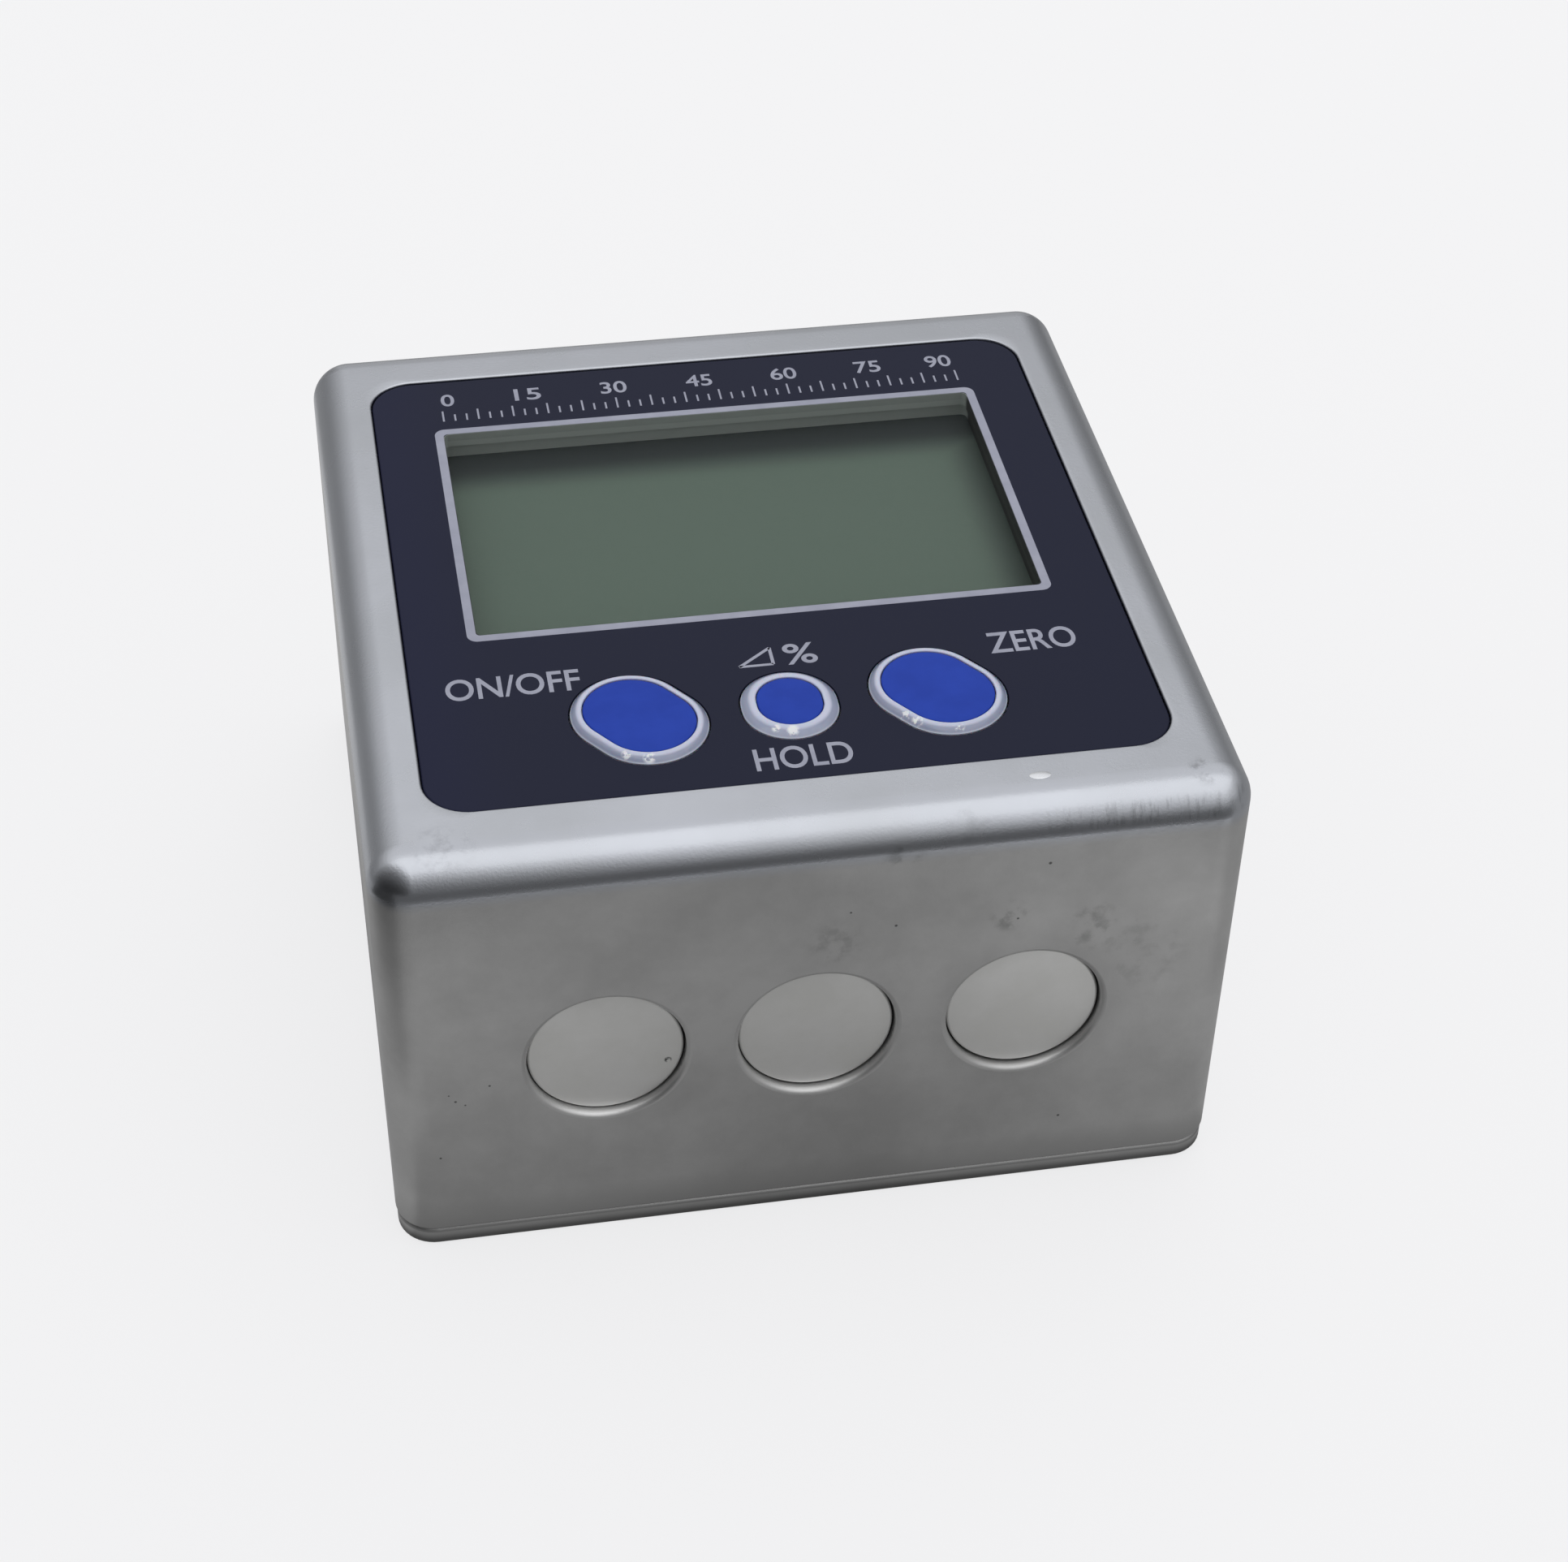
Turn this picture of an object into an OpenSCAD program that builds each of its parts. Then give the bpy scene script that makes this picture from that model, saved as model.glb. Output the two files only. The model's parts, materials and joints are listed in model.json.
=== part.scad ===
/* [Cover] */
// Width of the cover across the display
cover_w = 55; // [54.5:0.5:70]
// Length of the cover from the magnet side to the far side
cover_l = 57.5; // [50:0.5:70]
// Height from the underside of the back plate to the steel face
case_h = 33; // [31:0.5:45]
// Thickness of the cover's sheet
sheet_t = 0.9; // [0.6:0.1:1.2]
// Radius of the cover's rounded corners and top edges
edge_r = 2.6; // [2.2:0.1:3.2]
// Rounding of the cover's lower edge
cover_foot_r = 0.3; // [0.1:0.05:0.4]
// Steel margin left and right of the panel opening
side_margin = 3.93; // [3.7:0.01:4.5]
// Steel margin at the ends of the panel opening
end_margin = 4.98; // [4.6:0.01:5.4]
// Corner radius of the panel opening
opening_r = 3; // [1.5:0.1:4]

/* [Face panel] */
// Thickness of the face panel
panel_t = 1; // [0.8:0.1:1.4]
// Depth of the panel's surface under the steel face
panel_drop = 0.15; // [0.05:0.05:0.4]
// Gap between the panel and the opening's edge
panel_gap = 0.06; // [0.04:0.01:0.2]

/* [Display] */
// Width of the clear window
window_w = 37.6; // [34:0.2:39]
// Distance from the panel opening's far edge to the window
window_drop = 6.8; // [6:0.1:7.4]
// Corner radius of the window
window_r = 0.4; // [0.2:0.1:1]
// Width of the window's hidden lip under the panel
window_lip = 0.9; // [0.5:0.1:1.2]
// Thickness of the window's lip
window_lip_t = 0.5; // [0.3:0.1:0.6]
// Gap around the window
window_gap = 0.05; // [0.03:0.01:0.1]
// Width by which the display glass reaches past the window
glass_margin = 1.5; // [1.2:0.1:1.8]
// Thickness of the display glass
glass_t = 1.9; // [1.4:0.1:2.4]

/* [Keys] */
// Distance between neighbouring keys
key_pitch = 9.55; // [9.3:0.05:10]
// Distance from the panel opening's near edge to the keys' line
key_edge = 7.3; // [6.8:0.1:7.8]
// Distance from the keys' line to the clear window
key_room = 10.04; // [9.6:0.02:11]
// Height of the key tops over the panel
key_rise = 0.42; // [0.36:0.02:0.6]
// Travel of a pressed key
key_travel = 0.3; // [0.2:0.05:0.35]
// Gap between a key and the panel
key_gap = 0.12; // [0.08:0.01:0.16]
// End radius of a large key at the panel
large_base_r = 3.8; // [3.5:0.05:3.85]
// End radius of a large key's coloured top
large_top_r = 3.02; // [2.6:0.02:3.1]
// Half length of a large key's straight sides
large_half = 0.8; // [0.4:0.05:0.9]
// Turn of the large keys on the panel
large_turn = 127; // [90:1:150]
// End radius of the small key at the panel
small_base_r = 3.08; // [2.8:0.02:3.2]
// End radius of the small key's coloured top
small_top_r = 2.07; // [1.7:0.01:2.2]
// Half length of the small key's straight sides
small_half = 0.25; // [0.1:0.05:0.4]
// Turn of the small key on the panel
small_turn = 90; // [60:1:120]
// Thickness of a key's coloured top
key_top_t = 0.5; // [0.3:0.05:0.6]
// Width of a key's flange under the panel
flange_w = 0.6; // [0.4:0.05:0.7]
// Thickness of a key's flange
flange_t = 0.5; // [0.4:0.05:0.6]
// Gap between a key's flange and the panel
flange_gap = 0.05; // [0.03:0.01:0.1]
// Room around a key's flange in the frame
flange_room = 0.2; // [0.1:0.05:0.25]
// Gap around a key's coloured top
key_top_gap = 0.04; // [0.02:0.01:0.06]

/* [Switches] */
// Side of a switch body
switch_w = 6; // [5:0.5:6.5]
// Height of a switch body
switch_h = 3.5; // [3:0.1:3.8]
// Radius of a switch plunger
plunger_r = 1.6; // [1.2:0.1:1.8]
// Radial clearance of a plunger
plunger_gap = 0.06; // [0.03:0.01:0.1]
// Height of a plunger over its switch body
plunger_up = 0.85; // [0.7:0.05:0.95]
// Length of a plunger inside its switch body
plunger_in = 0.6; // [0.4:0.1:1]
// Free depth left under a pressed plunger
bore_spare = 0.2; // [0.1:0.05:0.4]
// Width of a key's stem past its plunger
stem_extra = 0.3; // [0.1:0.1:0.5]

/* [Magnets] */
// Diameter of a magnet
magnet_d = 10; // [8:0.5:10]
// Thickness of a magnet
magnet_t = 3; // [2:0.5:3.5]
// Distance between neighbouring magnets
magnet_pitch = 13.5; // [12.5:0.1:14]
// Height of the magnets' line over the back
magnet_z = 15.7; // [14.5:0.1:17]
// Depth of the magnets' faces under the cover's outside
magnet_recess = 0.6; // [0.4:0.1:1]
// Radial gap between a magnet and the cover's hole
magnet_hole_gap = 0.1; // [0.08:0.01:0.4]
// Radial gap between a magnet and its pocket
magnet_pocket_gap = 0.05; // [0.03:0.01:0.1]
// Rounding of a magnet's edges
magnet_edge_r = 0.2; // [0.1:0.05:0.4]

/* [Inner frame] */
// Gap between the inner frame and the cover's sides
frame_gap = 0.15; // [0.1:0.05:0.25]
// Wall of the inner frame
frame_wall = 1.2; // [0.8:0.1:1.4]
// Thickness of the frame's plate under the panel
frame_t = 1; // [0.8:0.1:1.4]
// Gap between the frame's window and the clear window
well_gap = 0.2; // [0.1:0.05:0.4]
// Radius of a corner boss
boss_r = 3; // [2.6:0.1:3.2]
// Distance of the corner bosses from the frame's outside
boss_inset = 4; // [3.8:0.1:4.5]
// Floor behind each magnet
pocket_floor = 0.8; // [0.5:0.1:1.2]
// Frame material around the magnets
pocket_rim = 1.5; // [1:0.1:2]

/* [Circuit board] */
// Thickness of the circuit board
board_t = 1.2; // [0.8:0.1:1.6]
// Height of the zebra strips between glass and board
zebra_h = 2.95; // [2.6:0.05:3.2]
// Width of a zebra strip
zebra_w = 2; // [1.4:0.1:2.4]
// Gap around the circuit board
board_gap = 0.3; // [0.2:0.05:0.5]
// Radius of a board post
post_r = 1.6; // [1.4:0.1:1.7]
// Distance of the posts' line from the board's side
post_inset = 2.8; // [2.6:0.1:3.2]
// Spacing of the posts along the board
post_span = 28; // [24:1:30]
// Side of the tilt sensor
sensor_w = 5; // [4:0.5:6]
// Height of the tilt sensor
sensor_h = 1.6; // [1:0.1:2]
// Side of the controller chip
chip_w = 10; // [8:0.5:12]
// Height of the controller chip
chip_h = 1.4; // [1:0.1:2]
// Diameter of the crystal's can
crystal_d = 2; // [1.6:0.1:3]
// Length of the crystal's can
crystal_l = 6; // [5:0.5:8]

/* [Battery] */
// Diameter of a cell
cell_d = 10.5; // [10:0.1:10.8]
// Radius of a cell's nub
nub_r = 1.9; // [1.5:0.1:2.2]
// Height of a cell's nub
nub_h = 0.8; // [0.6:0.1:1]
// Gap around the cells
cell_gap = 0.3; // [0.2:0.05:0.4]
// Wall of the battery tray
tray_t = 1; // [0.8:0.1:1.2]
// Width of the tray's foot
tray_foot = 3.5; // [3:0.1:4]
// Thickness of the tray's foot
foot_t = 1.2; // [0.8:0.1:2]
// Gap between the tray and the frame's magnet wall
tray_gap = 0.2; // [0.1:0.05:0.4]
// Gap between the tray and the cover's far side
tray_end_gap = 2.5; // [1.5:0.1:4]
// Room for a contact at each end of the cells
contact_room = 1.4; // [1.2:0.1:1.6]
// Thickness of the contact metal
contact_t = 0.3; // [0.2:0.05:0.4]
// Height of a contact's pad
contact_h = 7; // [5:0.5:8]
// Width of a contact
contact_w = 4; // [3:0.5:6]
// Width of a contact's tab up to the board
tab_w = 2.5; // [2:0.1:3]
// Gap around a contact's tab in the tray
tab_gap = 0.3; // [0.2:0.05:0.5]
// Radius of the button that meets a nub
button_r = 1.6; // [1.2:0.1:1.9]
// Half height of a leaf's flat crown
crown_h = 1.2; // [0.6:0.1:1.6]
// Height of a leaf's end pads and of the link strip
pad_h = 1.2; // [0.8:0.1:1.6]

/* [Back] */
// Thickness of the back plate
back_t = 1.5; // [1.4:0.1:2]
// Inset of the back plate from the cover's outside
back_inset = 0.1; // [0.05:0.05:0.5]
// Rounding of the back plate's lower edge
back_edge_r = 0.4; // [0.2:0.1:0.7]
// Rounding of the back plate's upper edge
back_top_r = 0.35; // [0.15:0.05:0.5]
// Depth of the door and screw heads above the resting face
sink = 0.15; // [0.1:0.05:0.25]
// Width of the door's guiding lips
door_lip = 0.8; // [0.5:0.1:1]
// Gap around the battery door
door_gap = 0.15; // [0.1:0.05:0.2]
// Number of grip grooves in the door
grip_count = 5; // [3:1:7]
// Spacing of the grip grooves
grip_pitch = 1.6; // [1.4:0.1:2]
// Depth of a grip groove
grip_depth = 0.25; // [0.15:0.05:0.3]

/* [Fasteners] */
// Diameter of a back screw
screw_d = 2.5; // [2:0.1:2.8]
// Length of a back screw's shank in its boss
screw_l = 8; // [6:0.5:12]
// Diameter of a back screw's head
head_d = 4.6; // [4.2:0.1:5]
// Height of a back screw's head
head_h = 1.2; // [1:0.05:1.3]
// Diameter of a board screw
board_screw_d = 1.6; // [1.4:0.1:1.8]
// Grip of a board screw in its post
board_screw_l = 3; // [2:0.5:4]
// Diameter of a board screw's head
board_head_d = 3.2; // [2.8:0.1:3.6]
// Height of a board screw's head
board_head_h = 1; // [0.8:0.1:1.4]
// Radial clearance of a screw in its hole
screw_gap = 0.1; // [0.05:0.05:0.15]
// Width of a screw's drive slots
slot_w = 0.5; // [0.4:0.1:0.7]
// Depth of a screw's drive slots
slot_depth = 0.5; // [0.3:0.1:0.7]
// Rim left around a screw's drive slots
slot_margin = 0.9; // [0.7:0.1:1]
// Spare depth of a screw's pilot hole
pilot_spare = 0.5; // [0.3:0.1:1]

/* [Hidden] */
$fn = 64;
over = 0.01;

steel = [0.70, 0.71, 0.74];
navy = [0.16, 0.17, 0.23];
clear = [0.75, 0.80, 0.78, 0.35];
liquid = [0.36, 0.41, 0.37];
mould = [0.16, 0.16, 0.17];
rubber = [0.30, 0.30, 0.32];
board_green = [0.10, 0.33, 0.20];
epoxy = [0.08, 0.08, 0.09];
milky = [0.72, 0.74, 0.80];
royal = [0.18, 0.28, 0.66];
nickel = [0.58, 0.58, 0.57];
brass_strip = [0.80, 0.68, 0.40];
cell_wrap = [0.20, 0.30, 0.24];

// Heights of the stack, from the face down
ceiling_z = case_h - sheet_t;
panel_z1 = case_h - panel_drop;
panel_z0 = panel_z1 - panel_t;
plate_z0 = panel_z0 - frame_t;
glass_z0 = plate_z0 - glass_t;
board_z1 = glass_z0 - zebra_h;
board_z0 = board_z1 - board_t;
key_top_z = panel_z1 + key_rise;
flange_z1 = panel_z0 - flange_gap;
switch_z1 = board_z1 + switch_h;
stem_z = switch_z1 + plunger_up;
stem_r = plunger_r + stem_extra;
bore_depth = plunger_in + key_travel + bore_spare;

// Half sizes of the cover's inside, the panel opening and the frame
inner_x = cover_w / 2 - sheet_t;
inner_y = cover_l / 2 - sheet_t;
inner_r = edge_r - sheet_t;
opening_x = cover_w / 2 - side_margin;
opening_y = cover_l / 2 - end_margin;
frame_x = inner_x - frame_gap;
frame_y = inner_y - frame_gap;
boss_x = frame_x - boss_inset;
boss_y = frame_y - boss_inset;

// Display, its window filling the length between its far edge and the keys
window_l = 2 * opening_y - window_drop - key_edge - key_room;
window_y = opening_y - window_drop - window_l / 2;
glass_w = window_w + 2 * glass_margin;
glass_l = window_l + 2 * glass_margin;

// Keys, each as place, top radius, base radius, half length and turn
key_y = key_edge - opening_y;
power_key = [-key_pitch, large_top_r, large_base_r, large_half, large_turn];
hold_key = [0, small_top_r, small_base_r, small_half, small_turn];
zero_key = [key_pitch, large_top_r, large_base_r, large_half, large_turn];
keys = [power_key, hold_key, zero_key];

// Magnets and the frame wall that holds them
magnet_y = -cover_l / 2 + magnet_recess;
magnet_xs = [-magnet_pitch, 0, magnet_pitch];
magnet_wall_y = magnet_y + magnet_t + pocket_floor;
magnet_wall_x = magnet_pitch + magnet_d / 2 + pocket_rim;
magnet_wall_z = magnet_z - magnet_d / 2 - pocket_rim;

// Circuit board
board_x = frame_x - board_gap;
board_y0 = magnet_wall_y + board_gap;
board_y1 = frame_y - board_gap;
waist_x = boss_x - boss_r - board_gap;
waist_y = boss_y - boss_r - board_gap;
post_x = board_x - post_inset;
posts = [for (x = [-post_x, post_x], y = [-post_span / 2, post_span / 2]) [x, y]];
bosses = [for (x = [-boss_x, boss_x], y = [-boss_y, boss_y]) [x, y]];

// Battery tray
cell_x = cell_d / 2 + cell_gap / 2;
cell_z = back_t + cell_gap + cell_d / 2;
bay_x = cell_x + cell_d / 2 + cell_gap;
bay_y0 = magnet_wall_y + tray_gap + tray_t;
bay_y1 = inner_y - tray_end_gap - tray_t;
cell_l = bay_y1 - bay_y0 - 2 * contact_room;
tray_z1 = cell_z + cell_d / 2 + cell_gap + tray_t;

// Back plate and door
back_x = cover_w / 2 - back_inset;
back_y = cover_l / 2 - back_inset;
back_r = edge_r - back_inset;
door_step_z = sink + (back_t - sink) / 2;

// Outline of an edge with a round top and a round foot, from the axis of the corner outwards
module edge_profile(corner, rounding, h, foot) {
    translate([0, foot]) square([corner, h - rounding - foot]);
    if (foot > 0) square([corner - foot, h - rounding]);
    if (corner > rounding) square([corner - rounding, h]);
    intersection() {
        union() {
            translate([corner - rounding, h - rounding]) circle(rounding);
            if (foot > 0) translate([corner - foot, foot]) circle(foot);
        }
        square([corner, h]);
    }
}

// Block with round upright corners, a round top edge and a round foot, standing on z = 0
module rounded_block(x, y, h, corner, rounding, foot = 0) {
    for (turn = [0 : 90 : 270]) {
        side = turn % 180 == 0;
        rotate(turn)
            translate([(side ? x : y) - corner, (side ? y : x) - corner, 0])
                rotate_extrude(angle = 90) edge_profile(corner, rounding, h, foot);
        rotate(turn)
            translate([(side ? x : y) - corner, (side ? y : x) - corner, 0])
                rotate([90, 0, 0])
                    linear_extrude(2 * ((side ? y : x) - corner))
                        edge_profile(corner, rounding, h, foot);
    }
    translate([corner - x, corner - y, 0]) cube([2 * (x - corner), 2 * (y - corner), h]);
}

// Flat plate with round corners between two heights
module rounded_plate(x, y, r, z0, z1) {
    translate([0, 0, z0])
        linear_extrude(z1 - z0)
            union() {
                square([2 * (x - r), 2 * y], center = true);
                square([2 * x, 2 * (y - r)], center = true);
                for (sx = [-1, 1], sy = [-1, 1])
                    translate([sx * (x - r), sy * (y - r)]) circle(r);
            }
}

// Box between two corners
module span_box(low, high) {
    translate(low) cube(high - low);
}

// Round-ended solid along x from an upright half outline of radius and height
module stadium_turn(half) {
    for (end = [-1, 1])
        translate([end * half, 0, 0])
            rotate(-90 * end)
                rotate_extrude(angle = 180) children();
    translate([-half, 0, 0])
        rotate([90, 0, 90])
            linear_extrude(2 * half) {
                children();
                mirror([1, 0]) children();
            }
}

// Puts a key's pieces at its place and turn
module at_key(key) {
    translate([key[0], key_y, 0]) rotate(key[4]) children();
}

// Round-ended straight solid for a key of given end radius between two heights
module key_solid(key, r, z0, z1) {
    at_key(key) stadium_turn(key[3]) translate([0, z0]) square([r, z1 - z0]);
}

module front_cover() {
    color(steel)
        difference() {
            translate([0, 0, back_t])
                rounded_block(cover_w / 2, cover_l / 2, case_h - back_t, edge_r, edge_r, cover_foot_r);
            translate([0, 0, back_t - over])
                rounded_block(inner_x, inner_y, ceiling_z - back_t + over, inner_r, inner_r);
            rounded_plate(opening_x, opening_y, opening_r, ceiling_z - 1, case_h + 1);
            for (x = magnet_xs)
                translate([x, -cover_l / 2 - 1, magnet_z])
                    rotate([-90, 0, 0]) cylinder(r = magnet_d / 2 + magnet_hole_gap, h = sheet_t + 2);
        }
}

module face_panel() {
    color(navy)
        difference() {
            rounded_plate(opening_x - panel_gap, opening_y - panel_gap, opening_r - panel_gap,
                          panel_z0, panel_z1);
            translate([0, window_y, 0]) {
                rounded_plate(window_w / 2, window_l / 2, window_r, panel_z0 - 1, panel_z1 + 1);
                rounded_plate(window_w / 2 + window_lip, window_l / 2 + window_lip, window_r + window_lip,
                              panel_z0 - 1, panel_z0 + window_lip_t);
            }
            for (key = keys) key_solid(key, key[2] + key_gap, panel_z0 - 1, panel_z1 + 1);
        }
}

module display_window() {
    lip = window_lip - 2 * window_gap;
    color(clear)
        translate([0, window_y, 0]) {
            rounded_plate(window_w / 2 - window_gap, window_l / 2 - window_gap, window_r - window_gap,
                          panel_z0, panel_z1);
            rounded_plate(window_w / 2 + lip, window_l / 2 + lip, window_r + lip,
                          panel_z0, panel_z0 + window_lip_t - window_gap);
        }
}

module inner_frame() {
    color(mould)
        difference() {
            union() {
                difference() {
                    translate([0, 0, board_z1])
                        rounded_block(frame_x, frame_y, ceiling_z - board_z1, inner_r, inner_r);
                    span_box([frame_wall - frame_x, frame_wall - frame_y, board_z1 - 1],
                             [frame_x - frame_wall, frame_y - frame_wall, plate_z0]);
                }
                for (p = bosses)
                    translate([p[0], p[1], back_t]) cylinder(r = boss_r, h = plate_z0 - back_t + over);
                for (p = posts)
                    translate([p[0], p[1], board_z1]) cylinder(r = post_r, h = plate_z0 - board_z1 + over);
                span_box([-magnet_wall_x, -frame_y, magnet_wall_z],
                         [magnet_wall_x, magnet_wall_y, plate_z0 + over]);
            }
            rounded_plate(opening_x, opening_y, opening_r, panel_z0, ceiling_z + 1);
            translate([0, window_y, 0])
                rounded_plate(window_w / 2 + well_gap, window_l / 2 + well_gap, window_r + well_gap,
                              plate_z0 - 1, ceiling_z + 1);
            for (key = keys) key_solid(key, key[2] + flange_w + flange_room, plate_z0 - 1, ceiling_z + 1);
            for (x = magnet_xs)
                translate([x, magnet_y, magnet_z])
                    rotate([-90, 0, 0]) cylinder(r = magnet_d / 2 + magnet_pocket_gap, h = magnet_t);
            for (p = bosses)
                translate([p[0], p[1], back_t - 1])
                    cylinder(d = screw_d + screw_gap, h = screw_l + pilot_spare + 1);
            for (p = posts)
                translate([p[0], p[1], board_z1 - 1])
                    cylinder(d = board_screw_d + screw_gap, h = board_screw_l + pilot_spare + 1);
        }
}

module lcd_glass() {
    color(liquid)
        translate([0, window_y, 0])
            span_box([-glass_w / 2, -glass_l / 2, glass_z0], [glass_w / 2, glass_l / 2, plate_z0]);
}

module zebra_strips() {
    length = window_w;
    color(rubber)
        for (side = [-1, 1])
            translate([0, window_y + side * (glass_l - zebra_w) / 2, 0])
                span_box([-length / 2, -zebra_w / 2, board_z1], [length / 2, zebra_w / 2, glass_z0]);
}

module circuit_board() {
    color(board_green)
        difference() {
            union() {
                span_box([-board_x, -waist_y, board_z0], [board_x, waist_y, board_z1]);
                span_box([-waist_x, board_y0, board_z0], [waist_x, board_y1, board_z1]);
            }
            for (p = posts)
                translate([p[0], p[1], board_z0 - 1])
                    cylinder(d = board_screw_d + 2 * screw_gap, h = board_t + 2);
        }
}

module tilt_sensor() {
    color(epoxy)
        translate([waist_x / 2, 0, board_z0 - sensor_h])
            span_box([-sensor_w / 2, -sensor_w / 2, 0], [sensor_w / 2, sensor_w / 2, sensor_h]);
}

module controller_chip() {
    color(epoxy)
        translate([-waist_x / 2, 0, board_z0 - chip_h])
            span_box([-chip_w / 2, -chip_w / 2, 0], [chip_w / 2, chip_w / 2, chip_h]);
}

module crystal() {
    color(nickel)
        translate([-waist_x / 2 - crystal_l / 2, chip_w, board_z0 - crystal_d / 2])
            rotate([0, 90, 0]) cylinder(d = crystal_d, h = crystal_l);
}

// Milky cap with a sloped rim, a pocket for its coloured top, a flange and a stem
module key_cap(key) {
    flange_r = key[2] + flange_w;
    top_z = key_top_z - key_top_t;
    flange_z0 = flange_z1 - flange_t;
    at_key(key)
        stadium_turn(key[3])
            polygon([[0, flange_z0], [flange_r, flange_z0], [flange_r, flange_z1], [key[2], flange_z1],
                     [key[2], panel_z1], [key[1] + key_top_gap, key_top_z], [key[1] + key_top_gap, top_z],
                     [0, top_z]]);
    translate([key[0], key_y, stem_z]) cylinder(r = stem_r, h = flange_z0 - stem_z + flange_t / 2);
}

module key_top(key) {
    key_solid(key, key[1], key_top_z - key_top_t, key_top_z);
}

// Switch body with a blind bore for its plunger
module switch_body(key) {
    difference() {
        translate([key[0], key_y, 0])
            span_box([-switch_w / 2, -switch_w / 2, board_z1], [switch_w / 2, switch_w / 2, switch_z1]);
        translate([key[0], key_y, switch_z1 - bore_depth])
            cylinder(r = plunger_r + plunger_gap, h = bore_depth + 1);
    }
}

module plunger(key) {
    translate([key[0], key_y, switch_z1 - plunger_in]) cylinder(r = plunger_r, h = plunger_in + plunger_up);
}

module power_key_cap() { color(milky) key_cap(power_key); }
module power_key_top() { color(royal) key_top(power_key); }
module power_switch() { color(epoxy) switch_body(power_key); }
module power_plunger() { color(mould) plunger(power_key); }
module hold_key_cap() { color(milky) key_cap(hold_key); }
module hold_key_top() { color(royal) key_top(hold_key); }
module hold_switch() { color(epoxy) switch_body(hold_key); }
module hold_plunger() { color(mould) plunger(hold_key); }
module zero_key_cap() { color(milky) key_cap(zero_key); }
module zero_key_top() { color(royal) key_top(zero_key); }
module zero_switch() { color(epoxy) switch_body(zero_key); }
module zero_plunger() { color(mould) plunger(zero_key); }

// Disc with round edges, its face at the recess behind the cover's hole
module magnet(x) {
    color(nickel)
        translate([x, magnet_y, magnet_z])
            rotate([-90, 0, 0])
                rotate_extrude() {
                    square([magnet_d / 2 - magnet_edge_r, magnet_t]);
                    translate([0, magnet_edge_r]) square([magnet_d / 2, magnet_t - 2 * magnet_edge_r]);
                    for (h = [magnet_edge_r, magnet_t - magnet_edge_r])
                        translate([magnet_d / 2 - magnet_edge_r, h]) circle(magnet_edge_r);
                }
}

module magnet_left() { magnet(magnet_xs[0]); }
module magnet_middle() { magnet(magnet_xs[1]); }
module magnet_right() { magnet(magnet_xs[2]); }

// Tray with two half-round cradles that open towards the door
module battery_tray() {
    wall_x = bay_x + tray_t;
    color(mould)
        difference() {
            union() {
                span_box([-wall_x, bay_y0 - tray_t, back_t], [wall_x, bay_y1 + tray_t, tray_z1]);
                span_box([-wall_x - tray_foot, bay_y0 - tray_t, back_t],
                         [wall_x + tray_foot, bay_y1 + tray_t, back_t + foot_t]);
            }
            span_box([-bay_x, bay_y0, back_t - 1], [bay_x, bay_y1, cell_z]);
            for (side = [-1, 1]) {
                translate([side * cell_x, bay_y0, cell_z])
                    rotate([-90, 0, 0]) cylinder(r = cell_d / 2 + cell_gap, h = bay_y1 - bay_y0);
                span_box([side * cell_x - tab_w / 2 - tab_gap, bay_y1 - contact_t - tab_gap, cell_z],
                         [side * cell_x + tab_w / 2 + tab_gap, bay_y1, tray_z1 + 1]);
            }
        }
}

// Cell lying along y, its nub towards +y when it faces forward
module cell(x, forward) {
    body_l = cell_l - nub_h;
    color(cell_wrap)
        translate([x, (bay_y0 + bay_y1) / 2, cell_z])
            rotate([forward ? -90 : 90, 0, 0])
                translate([0, 0, -cell_l / 2]) {
                    cylinder(d = cell_d, h = body_l);
                    cylinder(r = nub_r, h = cell_l);
                }
}

module battery_left() { cell(-cell_x, true); }
module battery_right() { cell(cell_x, false); }

// Flat pad with a round button that meets a cell's nub, against a wall at y = 0 and facing +y
module button_pad() {
    span_box([-contact_w / 2, 0, -contact_h / 2], [contact_w / 2, contact_t, contact_h / 2]);
    rotate([-90, 0, 0]) cylinder(r = button_r, h = contact_room);
}

// Bowed leaf that meets a cell's flat end, against a wall at y = 0 and facing +y
module bowed_leaf() {
    reach = contact_room;
    end = contact_h / 2;
    translate([-contact_w / 2, 0, 0])
        rotate([90, 0, 90])
            linear_extrude(contact_w)
                polygon([[0, -end], [contact_t, -end], [reach, -crown_h], [reach, crown_h],
                         [contact_t, end], [0, end], [0, end - pad_h],
                         [reach - contact_t, crown_h], [reach - contact_t, -crown_h], [0, pad_h - end]]);
}

// Strip from a contact's pad up to the board
module board_tab() {
    span_box([-tab_w / 2, 0, contact_h / 2 - pad_h], [tab_w / 2, contact_t, board_z0 - cell_z]);
}

module positive_contact() {
    color(brass_strip)
        translate([-cell_x, bay_y1, cell_z])
            mirror([0, 1, 0]) {
                button_pad();
                board_tab();
            }
}

module negative_contact() {
    color(brass_strip)
        translate([cell_x, bay_y1, cell_z])
            mirror([0, 1, 0]) {
                bowed_leaf();
                board_tab();
            }
}

module cell_link() {
    color(brass_strip)
        translate([0, bay_y0, cell_z]) {
            translate([-cell_x, 0, 0]) bowed_leaf();
            translate([cell_x, 0, 0]) button_pad();
            span_box([-cell_x, 0, -contact_h / 2], [cell_x, contact_t, pad_h - contact_h / 2]);
        }
}

// Back plate's rounded outline
module back_block() {
    rounded_block(back_x, back_y, back_t, back_r, back_top_r, back_edge_r);
}

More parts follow.
